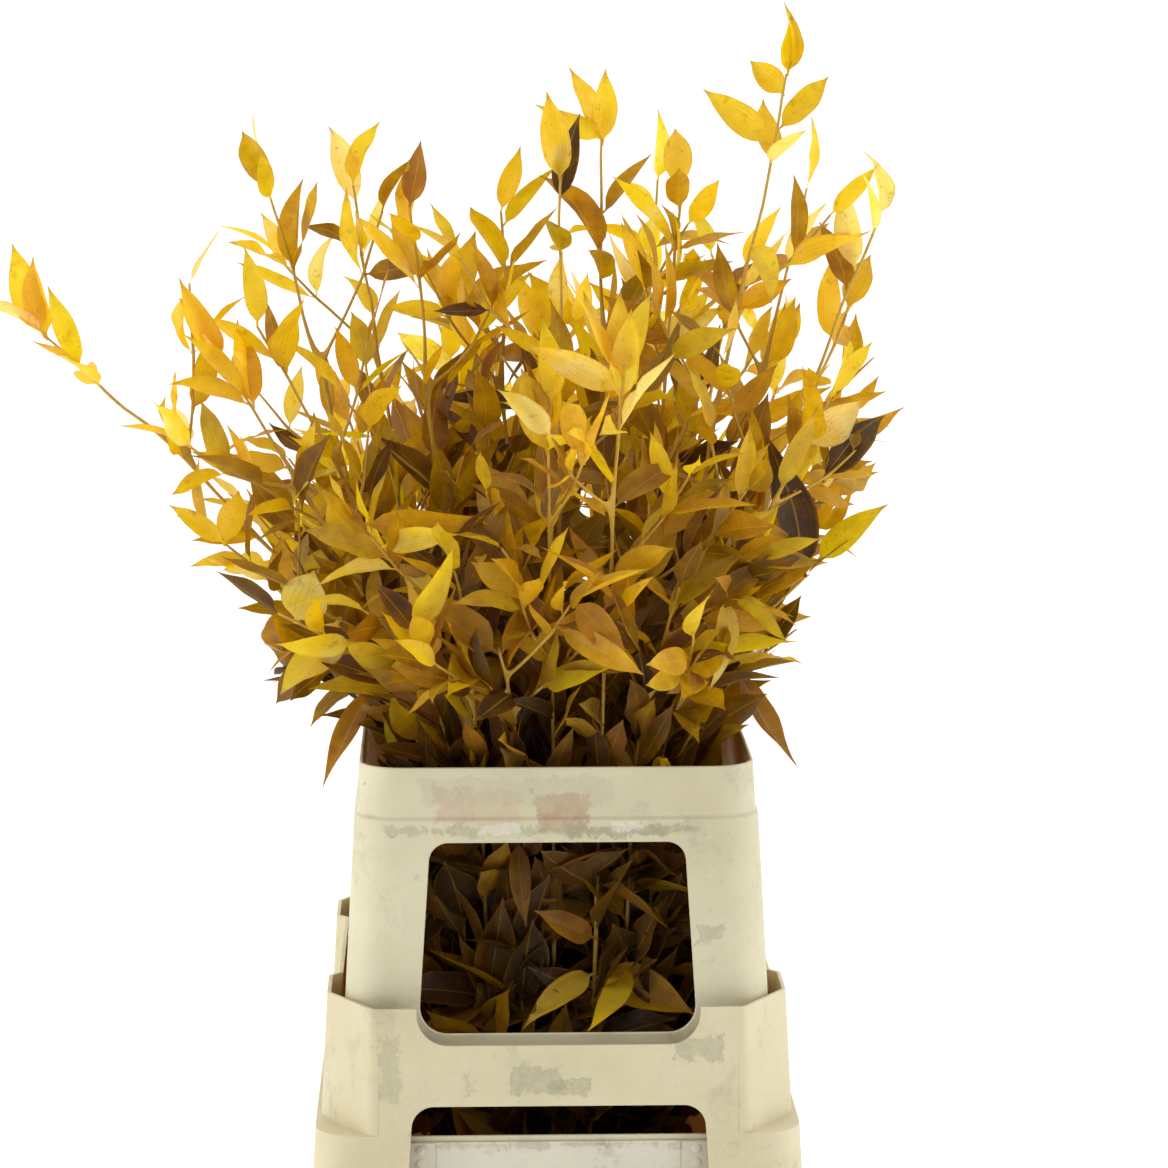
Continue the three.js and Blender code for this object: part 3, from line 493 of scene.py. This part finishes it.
# The leaves that catch the eye from the front: foot and tip in millimetres, breadth as a share of
# length, and how bright the leaf is, from 0 for brown to 1 for pale yellow.
NOTED = [
    ((25, -190, 718), (41, -198, 776), 0.33, 0.86), ((15, -190, 726), (-18, -198, 761), 0.42, 0.90),
    ((-173, -110, 558), (-148, -118, 606), 0.62, 1.0), ((-137, -100, 574), (-162, -100, 531), 0.58, 0.92),
    ((-120, -150, 506), (-83, -158, 559), 0.62, 0.50), ((172, -50, 650), (211, -50, 712), 0.32, 0.04),
    ((155, -80, 609), (159, -80, 689), 0.36, 0.02), ((-162, -110, 529), (-191, -118, 505), 0.42, 0.80),
    ((123, -170, 572), (104, -178, 528), 0.38, 0.92), ((-3, -200, 601), (45, -208, 567), 0.38, 0.50),
    ((3, -205, 562), (57, -213, 552), 0.34, 0.62), ((-106, -185, 622), (-63, -193, 645), 0.36, 0.86),
    ((-93, -195, 584), (-65, -203, 636), 0.38, 0.75), ((-88, -150, 669), (-36, -158, 638), 0.38, 0.55),
    ((-162, -20, 852), (-200, -20, 886), 0.42, 0.50), ((-33, -128, 431), (-23, -136, 382), 0.30, 0.33),
    ((35, -128, 365), (-15, -136, 388), 0.34, 0.42), ((45, -120, 350), (36, -176, 312), 0.30, 0.74),
    ((26, -132, 342), (-24, -140, 328), 0.36, 0.84), ((124, -60, 522), (147, -60, 464), 0.30, 0.35),
    ((-124, -80, 518), (-150, -80, 462), 0.28, 0.40), ((35, 20, 867), (30, 20, 918), 0.36, 0.80),
    ((36, 20, 870), (-7, 20, 900), 0.38, 0.82), ((132, -20, 871), (99, -20, 908), 0.42, 0.78),
    ((159, -30, 898), (127, -30, 925), 0.42, 0.72), ((166, -40, 913), (152, -40, 957), 0.38, 0.82),
    ((-243, -70, 723), (-234, -70, 779), 0.36, 0.80), ((-249, -90, 727), (-241, -90, 785), 0.34, 0.80),
    ((-347, -40, 750), (-352, -40, 805), 0.40, 0.82), ((-326, -40, 746), (-339, -40, 796), 0.36, 0.80),
    ((-303, -45, 728), (-321, -45, 778), 0.34, 0.80), ((-8, -190, 769), (-4, -198, 822), 0.30, 0.80),
    ((10, -180, 809), (54, -188, 791), 0.34, 0.78), ((127, -120, 805), (163, -128, 778), 0.40, 0.75),
    ((86, -190, 681), (89, -198, 715), 0.42, 0.82), ((-223, -80, 616), (-197, -80, 655), 0.40, 0.70),
]
luck = random.Random(7)


def has_room(point):
    """Whether a point of a leaf here stays clear of the holder and inside the bunch's outline."""
    x, y, z = point
    if z < 0.25:
        return abs(x) < 0.09 and abs(y) < 0.104 and z > 0.19
    if z < 0.30:
        return abs(x) < 0.105 and abs(y) < 0.14
    if z < 0.495:
        across, deep = abs(x) / 0.110, abs(y) / 0.135
        return across < 1 and deep < 1 and across + deep < 1.8
    if not cad_box[0][1] < y < cad_box[1][1] or z > cad_box[1][2]:
        return False
    x, _, z = EYE + (point - EYE) * EYE.y / (EYE.y - y)
    for (low, low_left, low_right), (high, high_left, high_right) in zip(SPREAD, SPREAD[1:]):
        if low <= z <= high:
            share = (z - low) / (high - low)
            left = low_left + share * (high_left - low_left)
            right = low_right + share * (high_right - low_right)
            return left < x < right
    return False


def splits_a_quad(edge):
    """Whether an edge is the diagonal of one of the cage's four-sided faces."""
    return len(edge.link_loops) == 2 and all(
        len(loop.face.verts) == 3
        and (loop.link_loop_prev.vert.co - loop.link_loop_next.vert.co).length
        < min(edge.calc_length(), (loop.link_loop_prev.vert.co - loop.vert.co).length)
        for loop in edge.link_loops)


def read_stem(node):
    """The cage of a stem's bare shoots, and the base, tip and width of each of its leaves."""
    cage = bmesh.new()
    cage.from_mesh(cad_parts[node].data)
    bmesh.ops.remove_doubles(cage, verts=cage.verts, dist=0.00002)
    leaves, spent = [], []
    for tip in cage.verts:
        if len(tip.link_edges) != 4 or min(edge.calc_length() for edge in tip.link_edges) < 0.01:
            continue
        ring = [edge.other_vert(tip) for edge in tip.link_edges]
        beside = {edge.other_vert(ring[0]) for edge in ring[0].link_edges}
        facing = next(vert for vert in ring[1:] if vert not in beside)
        others = [vert for vert in ring[1:] if vert is not facing]
        spans = [ring[0].co - facing.co, others[0].co - others[1].co]
        middle = sum((vert.co for vert in ring), Vector()) / 4
        base = middle - (tip.co - middle) * WIDEST / (1 - WIDEST)
        leaves.append((base, tip.co.copy(), max(spans, key=lambda span: span.length)))
        spent += [tip, *ring]
    bmesh.ops.delete(cage, geom=spent, context="VERTS")
    torn = [edge for edge in cage.edges if edge.is_boundary]
    scars = bmesh.ops.holes_fill(cage, edges=torn, sides=4)["faces"]
    crease = cage.edges.layers.float.new("scar_crease")
    for scar in scars:
        for edge in scar.edges:
            edge[crease] = 1
    diagonals = [edge for edge in cage.edges if splits_a_quad(edge)]
    bmesh.ops.dissolve_edges(cage, edges=diagonals, use_verts=False)
    return cage, leaves


def young_leaves(cage):
    """Further leaves along the shoots, between those of the CAD."""
    found = []
    for face in cage.faces:
        sides = sorted(face.edges, key=lambda edge: edge.calc_length())
        if len(sides) != 4 or sides[-1].calc_length() < 0.015:
            continue
        ends = [(edge.verts[0].co + edge.verts[1].co) / 2 for edge in sides[:2]]
        low, high = sorted(ends, key=lambda end: end.z)
        along = (high - low).normalized()
        at_rim = 0.45 < (low.z + high.z) / 2 < 0.55
        in_crown = LOW_CROWN if high.z < 0.64 else HIGH_CROWN
        crowd = AT_RIM if at_rim else IN_HOLDER if high.z < 0.47 else in_crown
        for _ in range(int(crowd * (high - low).length / LEAF_STEP + luck.random())):
            base = low.lerp(high, luck.random())
            if base.z < 0.20:
                continue
            for _ in range(6):
                angle = luck.uniform(0.2, 0.8 if at_rim else 0.95 if base.z > 0.5 else 2.0)
                outward = Matrix.Rotation(luck.uniform(-0.7, 0.7), 3, along) @ face.normal
                direction = (along * math.cos(angle) + outward * math.sin(angle)).normalized()
                length = luck.uniform(0.038, 0.066) if base.z > 0.47 else luck.uniform(0.048, 0.070)
                tip = base + direction * length
                if all(has_room(base.lerp(tip, share)) for share in (0.5, 0.75, 1)):
                    width = direction.cross(along + outward * 0.4).normalized()
                    width.rotate(Matrix.Rotation(luck.uniform(-1.1, 1.1), 3, direction))
                    breadth = luck.uniform(0.27, 0.42) if base.z > 0.47 else luck.uniform(0.36, 0.50)
                    found.append((base, tip, width * length * breadth))
                    break
    return found


def leaf_rows(leaves):
    """For each leaf its foot and the three vectors and six numbers that give it its own shape."""
    rows = []
    for base, tip, span, tint in leaves:
        along = (tip - base).normalized()
        across = (span - along * span.dot(along)).normalized()
        face = along.cross(across)
        if face.z + 0.5 * face.dot(Vector((base.x, base.y, 0)).normalized()) < 0:
            across, face = -across, -face
        # Outer and high leaves get a paler tint, and leaves low in the holder and deep inside the bunch a
        # darker one. This is painted light and shade, with random dye variation around it.
        outer_lit_share = min(1, math.hypot(base.x / 0.24, base.y / 0.22))
        high = min(1, max(0, (base.z - 0.45) / 0.33))
        free = min(1, max(0.3, (base.z - 0.45) / 0.06))
        if tint is None:
            tint = min(1, max(0, luck.gauss(0.02 + 0.46 * high + 0.38 * outer_lit_share, 0.19)))
        rows.append({
            "foot": base - along * 0.001,
            "along": along,
            "across": across,
            "face": face,
            "size": Vector(((tip - base).length * 1.04, span.length * 0.9, 0)),
            "bend": Vector((luck.gauss(0.28, 0.38) * free, luck.uniform(0.05, 0.65), luck.gauss(0, 0.7))),
            "sway": Vector((luck.gauss(0, 0.12), luck.uniform(0.0, 0.16), luck.uniform(0, 6.3))),
            "tint": tint,
            "warmth": luck.gauss(0.5, 0.22),
        })
    return rows


# A leaf is a grid of a few dozen faces. Its shape follows named values on its point: length and
# breadth, how far it arches, cups, twists and sways, and how much its edge ripples.
def branch_tree(leaf_material, bark_material):
    """The node tree that turns a cage with leaf points into a leafy branch."""
    tree = bpy.data.node_groups.new("leafy_branch", "GeometryNodeTree")
    for name, kind, way in (("Geometry", "NodeSocketGeometry", "INPUT"),
                            ("Leaf Columns", "NodeSocketInt", "INPUT"),
                            ("Leaf Rows", "NodeSocketInt", "INPUT"),
                            ("Wander", "NodeSocketFloat", "INPUT"),
                            ("Bark Thickness", "NodeSocketFloat", "INPUT"),
                            ("Geometry", "NodeSocketGeometry", "OUTPUT")):
        tree.interface.new_socket(name, in_out=way, socket_type=kind)
    given = put(tree, "NodeGroupInput").outputs

    def field(name, kind="FLOAT_VECTOR"):
        found = put(tree, "GeometryNodeInputNamedAttribute", {"Name": name}, data_type=kind)
        return found.outputs["Attribute"]

    length_of = put(tree, "ShaderNodeSeparateXYZ", [field("size")])
    is_leaf = put(tree, "ShaderNodeMath", [length_of.outputs["X"], 0.0], operation="GREATER_THAN")
    split = put(tree, "GeometryNodeSeparateGeometry", [given["Geometry"], is_leaf], domain="POINT")

    # The shoots: the cage rounded by subdivision, except where a leaf or bud broke off, and with the
    # bark's thickness back on it.
    shoots = put(tree, "GeometryNodeSubdivisionSurface", {
        "Mesh": split.outputs["Inverted"], "Level": 2, "Edge Crease": field("scar_crease", "FLOAT")})
    outwards = put(tree, "GeometryNodeInputNormal")
    swell = put(tree, "ShaderNodeVectorMath", {0: outwards, 3: given["Bark Thickness"]}, operation="SCALE")
    shoots = put(tree, "GeometryNodeSetPosition", {"Geometry": shoots, "Offset": swell})

    # The leaves: one flat grid on each point, u from -1 to 1 across and v from 0 to 1 along.
    grid = put(tree, "GeometryNodeMeshGrid", [2.0, 1.0, given["Leaf Columns"], given["Leaf Rows"]])
    place = put(tree, "ShaderNodeVectorMath", [put(tree, "GeometryNodeInputPosition"), (0, 0.5, 0)],
                operation="ADD")
    grid = put(tree, "GeometryNodeStoreNamedAttribute", {
        "Geometry": grid, "Name": "leaf_uv", "Value": place}, data_type="FLOAT_VECTOR", domain="POINT")
    leaves = put(tree, "GeometryNodeInstanceOnPoints", {
        "Points": split.outputs["Selection"], "Instance": grid})
    leaves = put(tree, "GeometryNodeRealizeInstances", [leaves])

    uv = put(tree, "ShaderNodeSeparateXYZ", [field("leaf_uv")])
    u, v = uv.outputs["X"], uv.outputs["Y"]
    size = put(tree, "ShaderNodeSeparateXYZ", [field("size")])
    bend = put(tree, "ShaderNodeSeparateXYZ", [field("bend")])
    sway = put(tree, "ShaderNodeSeparateXYZ", [field("sway")])
    length, breadth = size.outputs["X"], size.outputs["Y"]
    arch, cup, twist = bend.outputs
    sweep, ripple, phase = sway.outputs

    # Stalk, lance-shaped blade and long drawn-out tip.
    outline = put(tree, "ShaderNodeFloatCurve", {"Value": v})
    curve = outline.mapping.curves[0]
    shape = [(0, 0.09), (0.07, 0.06), (0.10, 0.20), (0.17, 0.62), (0.28, 0.92), (0.42, 1.0), (0.56, 0.94),
             (0.70, 0.73), (0.82, 0.42), (0.91, 0.16), (1, 0.01)]
    for k, (x, y) in enumerate(shape):
        if 0 < k < len(shape) - 1:
            curve.points.new(x, y)
        else:
            curve.points[0 if k == 0 else len(curve.points) - 1].location = (x, y)
    outline.mapping.update()
    half = put(tree, "ShaderNodeMath", [breadth, 0.5], operation="MULTIPLY")
    half = put(tree, "ShaderNodeMath", [half, outline], operation="MULTIPLY")
    aside = put(tree, "ShaderNodeMath", [half, u], operation="MULTIPLY")
    square = put(tree, "ShaderNodeMath", [u, u], operation="MULTIPLY")
    wave = put(tree, "ShaderNodeMath", [v, 13.0, phase], operation="MULTIPLY_ADD")
    wave = put(tree, "ShaderNodeMath", [wave], operation="SINE")
    edgewise = put(tree, "ShaderNodeMath", [ripple, u], operation="MULTIPLY")
    wave = put(tree, "ShaderNodeMath", [wave, edgewise], operation="MULTIPLY")
    lift = put(tree, "ShaderNodeMath", [square, cup, wave], operation="MULTIPLY_ADD")
    lift = put(tree, "ShaderNodeMath", [lift, half], operation="MULTIPLY")
    along_square = put(tree, "ShaderNodeMath", [v, v], operation="MULTIPLY")
    along_cube = put(tree, "ShaderNodeMath", [along_square, v], operation="MULTIPLY")
    bow = put(tree, "ShaderNodeMath", [arch, arch], operation="MULTIPLY")
    bow = put(tree, "ShaderNodeMath", [bow, -0.16], operation="MULTIPLY")
    run = put(tree, "ShaderNodeMath", [bow, along_cube, v], operation="MULTIPLY_ADD")
    run = put(tree, "ShaderNodeMath", [run, length], operation="MULTIPLY")
    dip = put(tree, "ShaderNodeMath", [arch, along_square], operation="MULTIPLY")
    drop = put(tree, "ShaderNodeMath", [length, -0.5], operation="MULTIPLY")
    dip = put(tree, "ShaderNodeMath", [dip, drop], operation="MULTIPLY")
    drift = put(tree, "ShaderNodeMath", [sweep, along_square], operation="MULTIPLY")
    drift = put(tree, "ShaderNodeMath", [drift, length], operation="MULTIPLY")
    turn = put(tree, "ShaderNodeMath", [twist, v], operation="MULTIPLY")
    axis = field("along")
    turned_across, turned_face = (
        put(tree, "ShaderNodeVectorRotate", {"Vector": field(name), "Axis": axis, "Angle": turn})
        for name in ("across", "face"))
    point = field("foot")
    for direction, amount in ((axis, run), (field("face"), dip), (field("across"), drift),
                              (turned_across, aside), (turned_face, lift)):
        move = put(tree, "ShaderNodeVectorMath", {0: direction, 3: amount}, operation="SCALE")
        point = put(tree, "ShaderNodeVectorMath", [point, move], operation="ADD")
    leaves = put(tree, "GeometryNodeSetPosition", {"Geometry": leaves, "Position": point})

    # Everything above the holder wanders a little, as a grown branch does.
    both = put(tree, "GeometryNodeJoinGeometry")
    for part in (leaves, shoots):
        tree.links.new(part.outputs[0], both.inputs[0])
    position = put(tree, "GeometryNodeInputPosition")
    unrest = put(tree, "ShaderNodeTexNoise", {"Vector": position, "Scale": 12, "Detail": 1})
    centred = put(tree, "ShaderNodeVectorMath", [unrest.outputs["Color"], (0.5, 0.5, 0.5)],
                  operation="SUBTRACT")
    height = put(tree, "ShaderNodeSeparateXYZ", [position]).outputs["Z"]
    fade = put(tree, "ShaderNodeMapRange", [height, 0.47, 0.65, 0.0, 1.0])
    amount = put(tree, "ShaderNodeMath", [fade, given["Wander"]], operation="MULTIPLY")
    shift = put(tree, "ShaderNodeVectorMath", {0: centred, 3: amount}, operation="SCALE")
    whole = put(tree, "GeometryNodeSetPosition", {"Geometry": both, "Offset": shift})
    whole = put(tree, "GeometryNodeSetShadeSmooth", [whole])
    whole = put(tree, "GeometryNodeRealizeInstances", [whole])
    whole = put(tree, "GeometryNodeSetMaterial", {"Geometry": whole, "Material": bark_material})
    whole = put(tree, "GeometryNodeSetMaterial", {
        "Geometry": whole, "Selection": is_leaf, "Material": leaf_material})
    put(tree, "NodeGroupOutput", [whole])
    return tree


# The leaf is glycerine-preserved and dyed right through, so light shines through it strongly.
# Its veins run side by side from stalk to tip, and age has browned it in patches and at the tip.
def preserved_leaf():
    made, tree = new_material("dyed_preserved_leaf")
    coords = put(tree, "ShaderNodeTexCoord").outputs["Object"]
    # The tint attribute is partly painted shade: leaves low in the holder and deep inside the bunch carry a
    # darker tint, and outer ones a paler one.
    tint = put(tree, "ShaderNodeAttribute", attribute_name="tint").outputs["Fac"]
    uv = put(tree, "ShaderNodeAttribute", attribute_name="leaf_uv").outputs["Vector"]
    u, v = put(tree, "ShaderNodeSeparateXYZ", [uv]).outputs[:2]

    cloud = put(tree, "ShaderNodeTexNoise", {"Vector": coords, "Scale": 55, "Detail": 5, "Roughness": 0.6})
    shift = put(tree, "ShaderNodeMapRange", [cloud, 0.3, 0.7, -0.10, 0.10])
    place = put(tree, "ShaderNodeMath", [tint, shift], operation="ADD", use_clamp=True)
    ramp = put(tree, "ShaderNodeValToRGB", [place])
    stops = [(0.0, "#402b16"), (0.13, "#5e3f17"), (0.27, "#7b5518"), (0.41, "#9c6f19"), (0.55, "#bd8f1a"),
             (0.70, "#d6ab20"), (0.86, "#e4c034"), (1.0, "#ead37c")]
    while len(ramp.color_ramp.elements) < len(stops):
        ramp.color_ramp.elements.new(0.5)
    for element, (at, code) in zip(ramp.color_ramp.elements, stops):
        element.position = at
        element.color = linear(code)

    # Some leaves took the dye to amber, others kept an olive green under it.
    warmth = put(tree, "ShaderNodeAttribute", attribute_name="warmth").outputs["Fac"]
    leaning = put(tree, "ShaderNodeMapRange", [warmth, 0.0, 1.0, 0.521, 0.483])
    base = put(tree, "ShaderNodeHueSaturation", {"Hue": leaning, "Color": ramp.outputs["Color"]})

    # Brown islands a centimetre wide, and rust specks of a millimetre or two.
    age = put(tree, "ShaderNodeTexNoise", {"Vector": coords, "Scale": 120, "Detail": 6, "Roughness": 0.65})
    aged = put(tree, "ShaderNodeMapRange", [age, 0.58, 0.74, 0.0, 0.55])
    base = put(tree, "ShaderNodeMix", {0: aged, 6: base, 7: linear("#8a5a12")}, data_type="RGBA").outputs[2]
    specks = put(tree, "ShaderNodeTexNoise", {"Vector": coords, "Scale": 620, "Detail": 2})
    speck = put(tree, "ShaderNodeMapRange", [specks, 0.70, 0.76, 0.0, 0.7])
    base = put(tree, "ShaderNodeMix", {0: speck, 6: base, 7: linear("#6a3d14")},
               data_type="RGBA").outputs[2]

    # Veins a millimetre and a half apart at the widest place, closing in towards both ends.
    waves = put(tree, "ShaderNodeMath", [u, 26.0], operation="MULTIPLY")
    waves = put(tree, "ShaderNodeMath", [waves], operation="SINE")
    vein = put(tree, "ShaderNodeMapRange", [waves, 0.2, 1.0, 0.0, 0.09])
    base = put(tree, "ShaderNodeMix", {0: vein, 6: base, 7: linear("#7c5410")}, data_type="RGBA").outputs[2]
    middle = put(tree, "ShaderNodeMath", [u], operation="ABSOLUTE")
    rib = put(tree, "ShaderNodeMapRange", [middle, 0.07, 0.0, 0.0, 0.35])
    base = put(tree, "ShaderNodeMix", {0: rib, 6: base, 7: linear("#d9b24a")}, data_type="RGBA").outputs[2]
    rim = put(tree, "ShaderNodeMapRange", [middle, 0.86, 1.0, 0.0, 0.30])
    base = put(tree, "ShaderNodeMix", {0: rim, 6: base, 7: linear("#b07d14")}, data_type="RGBA").outputs[2]
    tip = put(tree, "ShaderNodeMapRange", [v, 0.84, 1.0, 0.0, 0.6])
    base = put(tree, "ShaderNodeMix", {0: tip, 6: base, 7: linear("#8a5f1c")}, data_type="RGBA").outputs[2]

    ridges = put(tree, "ShaderNodeBump", {"Strength": 0.3, "Distance": 0.0001, "Height": waves})
    buckle = put(tree, "ShaderNodeBump", {
        "Strength": 0.5, "Distance": 0.0012, "Height": cloud, "Normal": ridges})
    surface = put(tree, "ShaderNodeBsdfPrincipled", {
        "Base Color": base, "Roughness": 0.5, "IOR": 1.45, "Normal": buckle})
    glow = put(tree, "ShaderNodeHueSaturation", {
        "Hue": 0.506, "Saturation": 1.1, "Value": 1.4, "Color": base})
    through = put(tree, "ShaderNodeBsdfTranslucent", {"Color": glow, "Normal": buckle})
    both = put(tree, "ShaderNodeMixShader", [0.48, surface, through])
    put(tree, "ShaderNodeOutputMaterial", [both])
    return made


# The shoots' bark is smooth and dry: straw-yellow high up and grey-brown lower down,
# with darker knots and fine lengthwise lines.
def dyed_bark():
    made, tree = new_material("dyed_bark")
    coords = put(tree, "ShaderNodeTexCoord").outputs["Object"]
    height = put(tree, "ShaderNodeSeparateXYZ", [coords]).outputs["Z"]
    rise = put(tree, "ShaderNodeMapRange", [height, 0.28, 0.55, 0.0, 1.0])
    patch = put(tree, "ShaderNodeTexNoise", {"Vector": coords, "Scale": 26, "Detail": 4})
    mixed = put(tree, "ShaderNodeMath", [rise, patch], operation="ADD")
    share = put(tree, "ShaderNodeMapRange", [mixed, 0.45, 1.35, 0.0, 1.0])
    base = put(tree, "ShaderNodeMix", {0: share, 6: linear("#7a5c2f"), 7: linear("#c29a36")},
               data_type="RGBA").outputs[2]
    drawn = put(tree, "ShaderNodeMapping", {"Vector": coords, "Scale": (1800, 1800, 60)})
    lines = put(tree, "ShaderNodeTexNoise", {"Vector": drawn, "Scale": 1, "Detail": 3})
    dark = put(tree, "ShaderNodeMapRange", [lines, 0.5, 0.75, 0.0, 0.5])
    base = put(tree, "ShaderNodeMix", {0: dark, 6: base, 7: linear("#5a3f20")}, data_type="RGBA").outputs[2]
    ridges = put(tree, "ShaderNodeBump", {"Strength": 0.4, "Distance": 0.0003, "Height": lines})
    surface = put(tree, "ShaderNodeBsdfPrincipled", {
        "Base Color": base, "Roughness": 0.6, "IOR": 1.45, "Normal": ridges})
    put(tree, "ShaderNodeOutputMaterial", [surface])
    return made


def nearest_shoot(stems, point):
    """The stem with a shoot nearest to a point, and that place on the shoot."""
    best = None
    for node, (cage, _) in stems.items():
        for edge in cage.edges:
            low, high = (vert.co for vert in edge.verts)
            share = (point - low).dot(high - low) / max(1e-9, (high - low).length_squared)
            place = low.lerp(high, min(1, max(0, share)))
            away = (place - point).length
            if best is None or away < best[0]:
                best = (away, node, place)
    return best[1:]


stems = {f"stem_{number:02d}": read_stem(f"stem_{number:02d}") for number in range(1, 45)}
noted = {node: [] for node in stems}
for foot, tip, share, tint in NOTED:
    foot, tip = Vector(foot) / 1000, Vector(tip) / 1000
    node, place = nearest_shoot(stems, foot)
    length = min((tip - place).length, 1.3 * (tip - foot).length)
    along = (tip - place).normalized()
    across = along.cross(Vector((0.1, -1, 0.15))).normalized()
    noted[node].append((place, place + along * length, across * (tip - foot).length * share, tint))

growth = branch_tree(preserved_leaf(), dyed_bark())
inputs = {item.name: item.identifier for item in growth.interface.items_tree if item.in_out == "INPUT"}
for node, (cage, leaves) in stems.items():
    rows = leaf_rows([(*leaf, None) for leaf in leaves + young_leaves(cage)] + noted[node])
    mesh = bpy.data.meshes.new(node)
    cage.to_mesh(mesh)
    cage.free()
    first = len(mesh.vertices)
    mesh.vertices.add(len(rows))
    for point, row in zip(mesh.vertices[first:], rows):
        point.co = row["foot"]
    for key in ("foot", "along", "across", "face", "size", "bend", "sway"):
        values = [0.0] * 3 * first + [component for row in rows for component in row[key]]
        mesh.attributes.new(key, "FLOAT_VECTOR", "POINT").data.foreach_set("vector", values)
    for key in ("tint", "warmth"):
        values = [0.0] * first + [row[key] for row in rows]
        mesh.attributes.new(key, "FLOAT", "POINT").data.foreach_set("value", values)
    branch = stand(node.replace("stem", "branch"), mesh)
    grow = branch.modifiers.new("grow", "NODES")
    grow.node_group = growth
    grow[inputs["Leaf Columns"]] = 5
    grow[inputs["Leaf Rows"]] = 12
    grow[inputs["Wander"]] = 0.012
    grow[inputs["Bark Thickness"]] = 0.0002
    settle(branch)
    for key in ("foot", "along", "across", "face", "size", "bend", "sway"):
        branch.data.attributes.remove(branch.data.attributes[key])
    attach(branch, "root")
    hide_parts(node)
